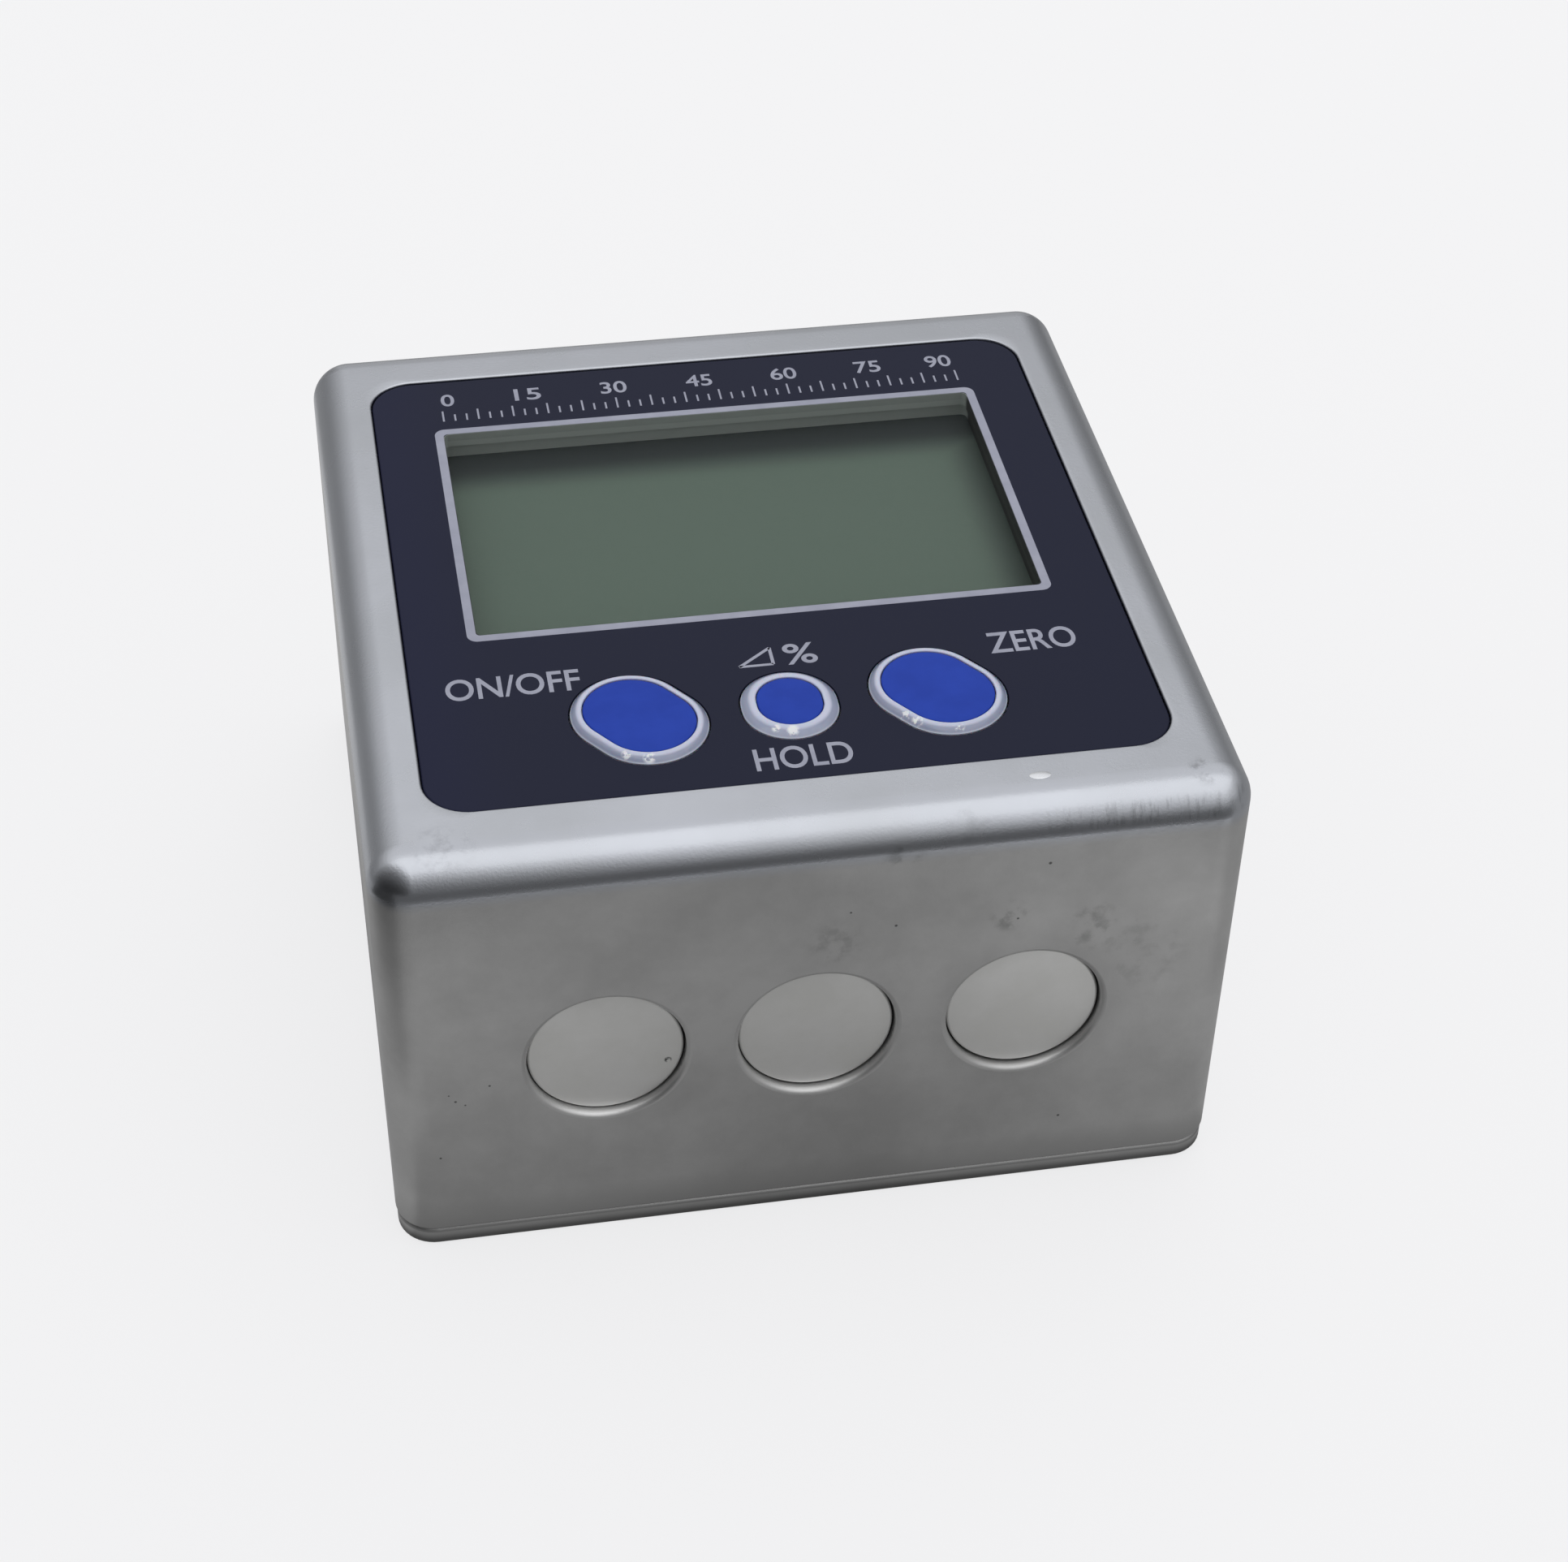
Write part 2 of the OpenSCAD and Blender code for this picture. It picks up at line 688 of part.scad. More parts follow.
// Countersunk form along +z from the head's face
module countersunk(gap) {
    translate([0, 0, sink]) {
        cylinder(r1 = head_d / 2 + gap, r2 = screw_d / 2 + gap, h = head_h);
        cylinder(r = screw_d / 2 + gap, h = back_t + screw_l - sink);
    }
}

module back_plate() {
    color(steel)
        difference() {
            back_block();
            span_box([-bay_x - door_gap, bay_y0 - door_gap, -1], [bay_x + door_gap, back_y + 1, back_t + 1]);
            span_box([-bay_x - door_lip - door_gap, bay_y0 - door_lip - door_gap, door_step_z],
                     [bay_x + door_lip + door_gap, back_y + 1, back_t + 1]);
            for (p = bosses)
                translate([p[0], p[1], 0]) {
                    countersunk(screw_gap);
                    translate([0, 0, -1]) cylinder(r = head_d / 2 + screw_gap, h = 1 + sink + over);
                }
        }
}

// Sliding door with a lip along three sides and grip grooves near its outer end
module battery_door() {
    grip_w = bay_x;
    groove_w = grip_pitch / 2;
    grip_y = back_y - back_edge_r;
    color(mould)
        difference() {
            intersection() {
                back_block();
                union() {
                    span_box([-bay_x, bay_y0, sink], [bay_x, back_y, back_t - door_gap]);
                    span_box([-bay_x - door_lip, bay_y0 - door_lip, door_step_z + door_gap],
                             [bay_x + door_lip, back_y, back_t - door_gap]);
                }
            }
            for (i = [1 : grip_count])
                span_box([-grip_w / 2, grip_y - i * grip_pitch - groove_w / 2, sink - 1],
                         [grip_w / 2, grip_y - i * grip_pitch + groove_w / 2, sink + grip_depth]);
        }
}

// Crossed slots cut into a head's face
module drive_slots(d) {
    for (turn = [0, 90])
        rotate(turn)
            span_box([slot_margin - d / 2, -slot_w / 2, -1], [d / 2 - slot_margin, slot_w / 2, slot_depth]);
}

module back_screws() {
    color(steel)
        for (p = bosses)
            translate([p[0], p[1], 0])
                difference() {
                    countersunk(0);
                    translate([0, 0, sink]) drive_slots(head_d);
                }
}

module board_screws() {
    color(steel)
        for (p = posts)
            translate([p[0], p[1], board_z0])
                difference() {
                    union() {
                        translate([0, 0, -board_head_h]) cylinder(d = board_head_d, h = board_head_h);
                        cylinder(d = board_screw_d, h = board_t + board_screw_l);
                    }
                    translate([0, 0, -board_head_h]) drive_slots(board_head_d);
                }
}

front_cover();
face_panel();
display_window();
inner_frame();
lcd_glass();
zebra_strips();
circuit_board();
tilt_sensor();
controller_chip();
crystal();
power_key_cap();
power_key_top();
power_switch();
power_plunger();
hold_key_cap();
hold_key_top();
hold_switch();
hold_plunger();
zero_key_cap();
zero_key_top();
zero_switch();
zero_plunger();
magnet_left();
magnet_middle();
magnet_right();
battery_tray();
battery_left();
battery_right();
positive_contact();
negative_contact();
cell_link();
back_plate();
battery_door();
back_screws();
board_screws();
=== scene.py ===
import json
import math

import bmesh
import bpy
import numpy as np
from mathutils import Matrix, Vector


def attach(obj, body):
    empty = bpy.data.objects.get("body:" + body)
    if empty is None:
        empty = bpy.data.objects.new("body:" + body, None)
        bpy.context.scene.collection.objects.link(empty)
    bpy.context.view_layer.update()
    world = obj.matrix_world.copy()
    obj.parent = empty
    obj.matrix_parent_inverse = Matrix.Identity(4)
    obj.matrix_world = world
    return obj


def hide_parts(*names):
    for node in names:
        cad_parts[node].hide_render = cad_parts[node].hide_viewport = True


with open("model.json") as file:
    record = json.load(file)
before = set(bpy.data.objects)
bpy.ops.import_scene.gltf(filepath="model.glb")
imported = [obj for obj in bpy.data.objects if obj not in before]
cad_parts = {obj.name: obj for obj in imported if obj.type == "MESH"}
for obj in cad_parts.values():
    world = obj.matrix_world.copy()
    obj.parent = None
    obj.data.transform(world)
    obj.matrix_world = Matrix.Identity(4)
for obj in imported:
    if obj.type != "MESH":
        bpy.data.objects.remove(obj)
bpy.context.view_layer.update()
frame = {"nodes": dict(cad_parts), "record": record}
nodes = frame["nodes"]
scene = bpy.context.scene
scene.view_settings.view_transform = "Standard"
mm = 0.001  # all shapes below are worked out in millimetres
print("frame loaded:", len(nodes), "nodes")


# Shapes

# points that fall together become one, and faces left without area go
def cleanMesh(mesh, reach=0.0001):
    work = bmesh.new()
    work.from_mesh(mesh)
    bmesh.ops.remove_doubles(work, verts=work.verts, dist=reach * mm)
    bmesh.ops.dissolve_degenerate(work, edges=work.edges, dist=reach * mm)
    work.to_mesh(mesh)
    work.free()
    mesh.update()


# a grid of points (rows, columns, 3) becomes quads between neighbouring rows and columns;
# columns always close on themselves, rows close when asked, and an end row can be one flat face
def gridMesh(name, grid, closeRows=False, capFirst=False, capLast=False):
    rows, columns = grid.shape[:2]
    index = np.arange(rows * columns).reshape(rows, columns)
    here = index if closeRows else index[:-1]
    above = np.roll(index, -1, axis=0) if closeRows else index[1:]
    quads = np.stack([here, np.roll(here, -1, axis=1), np.roll(above, -1, axis=1), above], axis=-1)
    faces = quads.reshape(-1, 4).tolist()
    if capFirst:
        faces.append(index[0, ::-1].tolist())
    if capLast:
        faces.append(index[-1].tolist())
    mesh = bpy.data.meshes.new(name)
    mesh.from_pydata((grid.reshape(-1, 3) * mm).tolist(), [], faces)
    cleanMesh(mesh)
    obj = bpy.data.objects.new(name, mesh)
    scene.collection.objects.link(obj)
    return obj


# rounded rectangles, one per row: a quarter circle of the row's radius at each corner's centre,
# joined by straight runs of evenly spaced points
def roundedRings(halfX, halfY, radius, height, cornerSteps=12, sideSteps=6, centre=(0, 0)):
    given = [np.asarray(value, float) for value in (halfX, halfY, radius, height)]
    halfX, halfY, radius, height = np.broadcast_arrays(*given)
    turn = np.linspace(0, np.pi / 2, cornerSteps + 1)
    angle = turn[None, :] + np.pi / 2 * np.arange(4)[:, None]
    signX, signY = np.array([1, -1, -1, 1]), np.array([1, 1, -1, -1])
    arcX = (halfX - radius)[:, None, None] * signX[:, None] + radius[:, None, None] * np.cos(angle)
    arcY = (halfY - radius)[:, None, None] * signY[:, None] + radius[:, None, None] * np.sin(angle)
    along = np.arange(1, sideSteps + 1) / (sideSteps + 1)
    runX = arcX[:, :, -1:] * (1 - along) + np.roll(arcX, -1, axis=1)[:, :, :1] * along
    runY = arcY[:, :, -1:] * (1 - along) + np.roll(arcY, -1, axis=1)[:, :, :1] * along
    x = np.concatenate([arcX, runX], axis=2).reshape(len(height), -1) + centre[0]
    y = np.concatenate([arcY, runY], axis=2).reshape(len(height), -1) + centre[1]
    return np.stack([x, y, np.broadcast_to(height[:, None], x.shape)], axis=-1)


# round-ended rings, one per row: two half circles of the row's radius, set half a straight length apart,
# turned about their middle and moved to their place
def stadiumRings(half, radius, height, turn=0, centre=(0, 0), steps=40):
    half, radius, height = np.broadcast_arrays(*(np.asarray(v, float) for v in (half, radius, height)))
    angle = np.linspace(-np.pi / 2, np.pi / 2, steps + 1)
    angle = np.concatenate([angle, angle + np.pi])
    shift = np.repeat([1.0, -1.0], steps + 1)
    x = half[:, None] * shift + radius[:, None] * np.cos(angle)
    y = radius[:, None] * np.sin(angle)
    c, s = math.cos(math.radians(turn)), math.sin(math.radians(turn))
    return np.stack([centre[0] + c * x - s * y, centre[1] + s * x + c * y,
                     np.broadcast_to(height[:, None], x.shape)], axis=-1)


# circles about an axis along y, one per row: the row's radius turned once round, at the row's depth
def discRings(radius, depth, centre, steps=96):
    radius, depth = np.broadcast_arrays(np.asarray(radius, float), np.asarray(depth, float))
    angle = np.linspace(0, 2 * np.pi, steps, endpoint=False)
    x = centre[0] + radius[:, None] * np.cos(angle)
    z = centre[1] + radius[:, None] * np.sin(angle)
    return np.stack([x, np.broadcast_to(depth[:, None], x.shape), z], axis=-1)


# points along a circle from a start angle to an end angle, both in degrees
def arc(centreA, centreB, radius, start, end, steps):
    angle = np.radians(np.linspace(start, end, steps + 1))
    return centreA + radius * np.cos(angle), centreB + radius * np.sin(angle)


# the mesh as its modifiers leave it becomes the object's own mesh
def bakeModifiers(obj):
    bpy.context.view_layer.update()
    evaluated = obj.evaluated_get(bpy.context.evaluated_depsgraph_get())
    finished = bpy.data.meshes.new_from_object(evaluated)
    old = obj.data
    obj.modifiers.clear()
    obj.data = finished
    bpy.data.meshes.remove(old)


# each cutter's solid is taken out of the piece, and the cutters are removed again
def cutOut(obj, cutters):
    for cutter in cutters:
        step = obj.modifiers.new("cut", "BOOLEAN")
        step.operation, step.solver, step.object = "DIFFERENCE", "EXACT", cutter
    bakeModifiers(obj)
    cleanMesh(obj.data)
    for cutter in cutters:
        mesh = cutter.data
        bpy.data.objects.remove(cutter)
        bpy.data.meshes.remove(mesh)


# edges sharper than the limit get a small round
def breakEdges(obj, width, limit=40, segments=2):
    step = obj.modifiers.new("edge", "BEVEL")
    step.width, step.segments = width * mm, segments
    step.limit_method, step.angle_limit = "ANGLE", math.radians(limit)
    bakeModifiers(obj)


# material and shading, then the body that the piece rides on and the solids that it stands for
def finishPiece(obj, material, body, standsFor=(), smoothBelow=50, evenFlats=False):
    obj.data.materials.clear()
    obj.data.materials.append(material)
    obj.data.shade_smooth()
    obj.data.set_sharp_from_angle(angle=math.radians(smoothBelow))
    if evenFlats:  # large flat faces keep their own direction, small rounds blend into them
        step = obj.modifiers.new("even", "WEIGHTED_NORMAL")
        step.mode, step.weight, step.keep_sharp = "FACE_AREA", 100, True
        bakeModifiers(obj)
    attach(obj, body)
    if standsFor:
        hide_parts(*standsFor)
    return obj


# Finishes

def linear(red, green, blue):  # screen colour 0 to 255 to the shader's linear colour
    value = np.array([red, green, blue]) / 255
    value = np.where(value <= 0.04045, value / 12.92, ((value + 0.055) / 1.055) ** 2.4)
    return (*value.tolist(), 1.0)


def startMaterial(name, **sockets):
    material = bpy.data.materials.new(name)
    material.use_nodes = True
    tree = material.node_tree
    shader = tree.nodes["Principled BSDF"]
    for socket, value in sockets.items():
        shader.inputs[socket.replace("_", " ")].default_value = value
    place = tree.nodes.new("ShaderNodeTexCoord").outputs["Object"]
    return material, tree, shader, place


def noiseOn(tree, vector, scale, detail=4.0, rough=0.55, stretch=None):
    if stretch:
        mapping = tree.nodes.new("ShaderNodeMapping")
        mapping.inputs["Scale"].default_value = stretch
        tree.links.new(vector, mapping.inputs["Vector"])
        vector = mapping.outputs["Vector"]
    noise = tree.nodes.new("ShaderNodeTexNoise")
    noise.inputs["Scale"].default_value = scale
    noise.inputs["Detail"].default_value = detail
    noise.inputs["Roughness"].default_value = rough
    tree.links.new(vector, noise.inputs["Vector"])
    return noise.outputs["Fac"]


def rangeOn(tree, value, low, high, toLow=0.0, toHigh=1.0, smooth=False):
    node = tree.nodes.new("ShaderNodeMapRange")
    node.interpolation_type = "SMOOTHSTEP" if smooth else "LINEAR"
    for socket, number in (("From Min", low), ("From Max", high), ("To Min", toLow), ("To Max", toHigh)):
        node.inputs[socket].default_value = number
    tree.links.new(value, node.inputs["Value"])
    return node.outputs["Result"]


# nothing at the band's first place and one at its second, both in millimetres along the axis
def bandOn(tree, axis, band, smooth=True):
    return rangeOn(tree, axis, band[0] * mm, band[1] * mm, smooth=smooth)


def mathOn(tree, operation, first, second):
    node = tree.nodes.new("ShaderNodeMath")
    node.operation = operation
    for socket, value in zip(node.inputs, (first, second)):
        if isinstance(value, (int, float)):
            socket.default_value = value
        else:
            tree.links.new(value, socket)
    return node.outputs["Value"]


def mixColours(tree, factor, first, second):
    node = tree.nodes.new("ShaderNodeMix")
    node.data_type = "RGBA"
    tree.links.new(factor, node.inputs["Factor"])
    sockets = [s for s in node.inputs if s.type == "RGBA"]
    for socket, value in zip(sockets, (first, second)):
        if isinstance(value, tuple):
            socket.default_value = value
        else:
            tree.links.new(value, socket)
    return next(s for s in node.outputs if s.type == "RGBA")


def bumpOn(tree, shader, height, strength, distance):
    node = tree.nodes.new("ShaderNodeBump")
    node.inputs["Strength"].default_value = strength
    node.inputs["Distance"].default_value = distance * mm
    tree.links.new(height, node.inputs["Height"])
    tree.links.new(node.outputs["Normal"], shader.inputs["Normal"])


# one inside a ball about a place in millimetres, fading to nothing at its radius
def spotOn(tree, vector, centre, radius):
    node = tree.nodes.new("ShaderNodeVectorMath")
    node.operation = "DISTANCE"
    node.inputs[1].default_value = [value * mm for value in centre]
    tree.links.new(vector, node.inputs[0])
    return rangeOn(tree, node.outputs["Value"], radius * mm, radius * 0.4 * mm, smooth=True)


def axesOf(tree, vector):
    node = tree.nodes.new("ShaderNodeSeparateXYZ")
    tree.links.new(vector, node.inputs["Vector"])
    return node.outputs["X"], node.outputs["Y"], node.outputs["Z"]


steelLook = {
    "face": (190, 193, 200),      # blasted steel, as it shows under the soft light
    "worn": (184, 187, 193),
    "wall": (205, 205, 205),      # sides, duller and less blue, with cloudy patches
    "patch": (190, 190, 190),
    "low": (178, 178, 178),       # painted shade: the sides darken a little towards their foot, from and to in mm
    "foot": (4.2, 1.7),
    "wallTop": (30.5, 29.5),      # where the rounded edge ends and the side begins, mm
    "rough": (0.22, 0.27),
    "wallRough": 0.16,            # added to the roughness on the sides
    "grain": 0.03,                # depth of the blasted grain, mm
    "dark": (70, 70, 70),
    # fineness of the noises, per metre
    "cloudScale": 90, "smearScale": 420, "grainScale": 5200, "patchScale": 130, "smudgeScale": 700,
    "smearRough": 0.05,           # how much the fine smears add to the roughness
    # polishing streaks on the front edge: how fine along each axis, how strong at most,
    # and where each axis lets them begin and come full, mm
    "streakScale": (2400, 500, 500),
    "streakStrength": 0.4,
    "streaks": ((0, 12.0, 18.0), (1, -27.0, -27.8), (2, 30.6, 31.1), (2, 32.4, 31.9)),
    # place, reach and strength of smudges, then place and size of small flecks on the magnet side
    "smudges": (((12.0, -28.75, 24.3), 1.6, 0.40), ((17.6, -28.75, 22.6), 2.6, 0.30),
                ((5.0, -28.75, 30.0), 1.6, 0.35), ((1.0, -28.75, 23.5), 2.4, 0.22),
                ((21.0, -28.75, 20.0), 4.0, 0.16), ((-22.9, -26.7, 33.0), 2.4, 0.20),
                ((24.3, -26.6, 33.0), 1.4, 0.45), ((9.0, -28.2, 31.2), 2.0, 0.14)),
    "halo": ((13.3, -28.75, 16.0), 7.6, 0.2),  # soft dark ring about the right magnet
    "magnetSide": -28.75,
    "fleckStrength": 0.8,
    "flecks": ((4.7, 24.5, 0.13), (1.8, 26.0, 0.10), (14.25, 28.4, 0.15), (12.5, 24.0, 0.11),
               (-24.4, 8.3, 0.11), (-23.2, 13.3, 0.12), (-22.6, 12.9, 0.09), (-23.6, 13.9, 0.08),
               (-21.0, 14.4, 0.11), (16.5, 5.6, 0.13)),
}


# blasted sheet: cloudy wear in the colour and roughness, a fine grain, patchy smudges and small flecks
# by distance from their places, and faint polishing streaks up the front edge's right half
def makeSteel(look):
    material, tree, shader, place = startMaterial("satin_steel", Metallic=1.0)
    x, y, z = axesOf(tree, place)
    cloud = noiseOn(tree, place, look["cloudScale"], 5)
    smear = noiseOn(tree, place, look["smearScale"], 4, 0.6)
    grain = noiseOn(tree, place, look["grainScale"], 2, 0.6)
    base = mixColours(tree, rangeOn(tree, cloud, 0.38, 0.66), linear(*look["face"]), linear(*look["worn"]))
    patches = rangeOn(tree, noiseOn(tree, place, look["patchScale"], 6, 0.62), 0.36, 0.64)
    side = mixColours(tree, patches, linear(*look["wall"]), linear(*look["patch"]))
    # painted shade: the sides turn darker towards their foot
    side = mixColours(tree, bandOn(tree, z, look["foot"], smooth=False), side, linear(*look["low"]))
    wall = bandOn(tree, z, look["wallTop"])
    base = mixColours(tree, wall, base, side)
    streak = noiseOn(tree, place, 1.0, 4, 0.65, stretch=look["streakScale"])
    stain = rangeOn(tree, streak, 0.5, 0.72, 0.0, look["streakStrength"])
    for axis, *band in look["streaks"]:
        stain = mathOn(tree, "MULTIPLY", stain, bandOn(tree, (x, y, z)[axis], band))
    patchy = rangeOn(tree, noiseOn(tree, place, look["smudgeScale"], 5, 0.65), 0.44, 0.66, smooth=True)
    for centre, reach, strength in look["smudges"]:
        spot = mathOn(tree, "MULTIPLY", spotOn(tree, place, centre, reach), strength)
        stain = mathOn(tree, "MAXIMUM", stain, mathOn(tree, "MULTIPLY", spot, patchy))
    centre, reach, strength = look["halo"]
    ring = mathOn(tree, "MULTIPLY", spotOn(tree, place, centre, reach), strength)
    stain = mathOn(tree, "MAXIMUM", stain, ring)
    for flatX, flatZ, size in look["flecks"]:
        spot = spotOn(tree, place, (flatX, look["magnetSide"], flatZ), size)
        stain = mathOn(tree, "MAXIMUM", stain, mathOn(tree, "MULTIPLY", spot, look["fleckStrength"]))
    tree.links.new(mixColours(tree, stain, base, linear(*look["dark"])), shader.inputs["Base Color"])
    rough = rangeOn(tree, cloud, 0.3, 0.7, *look["rough"])
    rough = mathOn(tree, "ADD", rough, mathOn(tree, "MULTIPLY", smear, look["smearRough"]))
    rough = mathOn(tree, "ADD", rough, mathOn(tree, "MULTIPLY", wall, look["wallRough"]))
    tree.links.new(rough, shader.inputs["Roughness"])
    bumpOn(tree, shader, grain, 0.25, look["grain"])
    return material


panelLook = {"colour": (36, 39, 58), "edge": (36, 39, 62), "edgeFrom": (-17.0, -23.2), "rough": (0.16, 0.24),
             "cloudScale": 160, "grainScale": 2600, "grain": 0.01}


# glossy dark film: very soft cloud in the gloss, a bluer tone towards the left edge
def makePanel(look):
    material, tree, shader, place = startMaterial("navy_film", Specular_IOR_Level=0.07)
    left = bandOn(tree, axesOf(tree, place)[0], look["edgeFrom"])
    base = mixColours(tree, left, linear(*look["colour"]), linear(*look["edge"]))
    tree.links.new(base, shader.inputs["Base Color"])
    rough = rangeOn(tree, noiseOn(tree, place, look["cloudScale"], 4), 0.3, 0.7, *look["rough"])
    tree.links.new(rough, shader.inputs["Roughness"])
    bumpOn(tree, shader, noiseOn(tree, place, look["grainScale"], 2), 0.04, look["grain"])
    return material


lensLook = {"tint": (34, 40, 37), "opacity": 0.07, "rough": 0.05}


# thin clear lens, almost all see-through
def makeClear(look):
    material, tree, shader, place = startMaterial("clear_lens", Alpha=look["opacity"])
    shader.inputs["Roughness"].default_value = look["rough"]
    shader.inputs["Base Color"].default_value = linear(*look["tint"])
    return material


# painted shadow: it begins and comes full at these places along y and x, mm
displayLook = {"field": (104, 122, 110), "pale": (114, 131, 119), "shade": (60, 66, 67),
               "farShadowBand": (11.7, 15.3), "sideShadowBand": (15.8, 18.6), "sideShadowShare": 0.6, "grainScale": 3800}


# reflecting liquid crystal: an even green-grey, with painted shadow under the far and right edges
def makeDisplay(look):
    material, tree, shader, place = startMaterial("liquid_crystal", Roughness=0.45, Specular_IOR_Level=0.1)
    x, y, z = axesOf(tree, place)
    # painted shadow along the far edge, and weaker along the right edge
    far, side = bandOn(tree, y, look["farShadowBand"]), bandOn(tree, x, look["sideShadowBand"])
    shade = mathOn(tree, "MAXIMUM", far, mathOn(tree, "MULTIPLY", side, look["sideShadowShare"]))
    speckle = rangeOn(tree, noiseOn(tree, place, look["grainScale"], 2), 0.3, 0.7, 0.0, 0.5)
    field = mixColours(tree, speckle, linear(*look["field"]), linear(*look["pale"]))
    tree.links.new(mixColours(tree, shade, field, linear(*look["shade"])), shader.inputs["Base Color"])
    return material


mouldLook = {"colour": (30, 30, 32), "pale": (44, 44, 46), "grainScale": 3000, "grain": 0.04}


# black moulding, which can turn to another colour between two places along y in millimetres; the gasket uses
# this for painted light on its far side
def makeMould(look, name="black_mould"):
    material, tree, shader, place = startMaterial(name, Roughness=0.55)
    grain = noiseOn(tree, place, look["grainScale"], 3)
    speckle = rangeOn(tree, grain, 0.3, 0.7, 0.0, 0.5)
    base = mixColours(tree, speckle, linear(*look["colour"]), linear(*look["pale"]))
    if "paintedLightFrom" in look:
        # painted light: the far colour comes in from the given place along y
        far = bandOn(tree, axesOf(tree, place)[1], look["paintedLightFrom"], smooth=False)
        base = mixColours(tree, far, base, linear(*look["far"]))
    tree.links.new(base, shader.inputs["Base Color"])
    bumpOn(tree, shader, grain, 0.15, look["grain"])
    return material


# one colour that drifts towards a second with a soft noise, and a grain of its own; it can turn to other
# colours between two heights in millimetres, and carry small broken marks of another colour
def makePlain(name, first, second, scale, rough, metallic=0.0, grain=0.1, turns=(), marks=(), **sockets):
    material, tree, shader, place = startMaterial(name, Metallic=metallic, **sockets)
    drift = noiseOn(tree, place, scale, 4)
    base = mixColours(tree, rangeOn(tree, drift, 0.35, 0.65), linear(*first), linear(*second))
    for low, high, colour in turns:
        rise = bandOn(tree, axesOf(tree, place)[2], (low, high))
        base = mixColours(tree, rise, base, linear(*colour))
    broken = rangeOn(tree, noiseOn(tree, place, 2600, 2), 0.42, 0.54, smooth=True)
    for centre, radius, colour in marks:
        spot = mathOn(tree, "MULTIPLY", spotOn(tree, place, centre, radius), broken)
        base = mixColours(tree, spot, base, linear(*colour))
    tree.links.new(base, shader.inputs["Base Color"])
    tree.links.new(rangeOn(tree, drift, 0.3, 0.7, *rough), shader.inputs["Roughness"])
    bumpOn(tree, shader, noiseOn(tree, place, scale * 14, 2), grain, 0.02)
    return material


# pale lines where the near sides of the soft rims catch the light: place and reach
keyGlints = tuple(((x, y, 33.15), reach, (250, 251, 253)) for x, y, reach in (
    (-10.85, -20.1, 0.42), (-9.5, -20.6, 0.5), (-1.3, -18.97, 0.36), (-0.3, -19.3, 0.5),
    (6.9, -18.9, 0.46), (7.6, -19.55, 0.5), (10.05, -20.6, 0.4)))
# heights between which a colour comes in: paler towards the rims' ridge, and paler again at their foot
rimTurns = ((33.14, 33.25, (204, 210, 232)), (32.94, 32.88, (182, 188, 206)))
# heights between which a colour comes in on the back plate, as painted shade: dark towards its foot, less so
# on the step under the cover
platePaintedShade = ((1.15, 0.35, (118, 118, 118)), (1.12, 1.25, (158, 158, 158)))
magnetNick = ((-9.57, -28.15, 14.36), 0.3, (40, 40, 42))  # place, reach and colour, on the left magnet
finishes = {
    "steel": makeSteel(steelLook),
    "panel": makePanel(panelLook),
    "clear_window": makeClear(lensLook),
    "display_glass": makeDisplay(displayLook),
    "black_mould": makeMould(mouldLook),
    "grey_rubber": makePlain("grey_rubber", (84, 84, 88), (72, 72, 75), 260, (0.6, 0.8)),
    "board": makePlain("solder_mask", (24, 84, 52), (18, 70, 44), 400, (0.3, 0.42)),
    "nickel": makePlain("dull_nickel", (240, 240, 239), (233, 233, 231), 240, (0.42, 0.50), 1.0, 0.05,
                        marks=(magnetNick,)),
    "milky_rim": makePlain("milky_rubber", (158, 166, 192), (148, 156, 184), 500, (0.16, 0.26), 0.0, 0.06,
                           rimTurns, keyGlints, Subsurface_Weight=0.3, Subsurface_Scale=0.0008,
                           Coat_Weight=1.0, Coat_Roughness=0.04),
    "blue_top": makePlain("royal_blue", (36, 67, 174), (40, 72, 182), 420, (0.34, 0.46), 0.0, 0.1,
                          Specular_IOR_Level=0.08),
    "cell_wrap": makePlain("cell_sleeve", (52, 92, 66), (46, 82, 60), 200, (0.2, 0.3)),
    "contact_strip": makePlain("spring_brass", (214, 184, 128), (198, 166, 110), 300, (0.25, 0.4), 1.0),
    "screw_steel": makePlain("zinc_steel", (176, 177, 180), (150, 151, 154), 500, (0.28, 0.45), 1.0),
}
ink = makePlain("lavender_ink", (166, 169, 186), (156, 159, 177), 600, (0.45, 0.6))
polished = makePlain("polished_pip", (228, 230, 234), (218, 220, 224), 800, (0.26, 0.34), 1.0)
# the back plate's dull metal, with painted shade towards its foot and on the step under the cover
dullPlateShaded = makePlain("dull_plate_painted_shade", (192, 192, 192), (184, 184, 184), 300, (0.42, 0.50), 1.0, 0.1,
                      platePaintedShade)
slotOf = {part["node"]: part["material_slot"] for part in frame["record"]["subparts"]}
for name, obj in nodes.items():
    obj.data.materials.clear()
    obj.data.materials.append(dullPlateShaded if name == "back_plate" else finishes[slotOf[name]])
print("finishes made:", len(finishes))


# Steel cover

cover = {"halfX": 27.5, "halfY": 28.75, "foot": 1.5, "top": 33.0, "sheet": 0.9, "edge": 2.6, "corner": 2.66,
         "openX": 23.57, "openY": 23.77, "openR": 3.0, "lip": 0.16, "ledge": 0.4, "footRound": 0.3,
         "holeR": 5.1, "holeX": (-13.5, 0.0, 13.5), "holeZ": 15.7, "holeRound": 0.4,
         # the holes' cutters: angle where the flare starts, how much wider it is there as a share of its
         # round, how far it stays off the wall, and how far a cutter reaches out of the wall and into it
         "flareFrom": 262, "flareWider": 0.19, "flareOff": 0.012, "cutReach": (1, 2)}


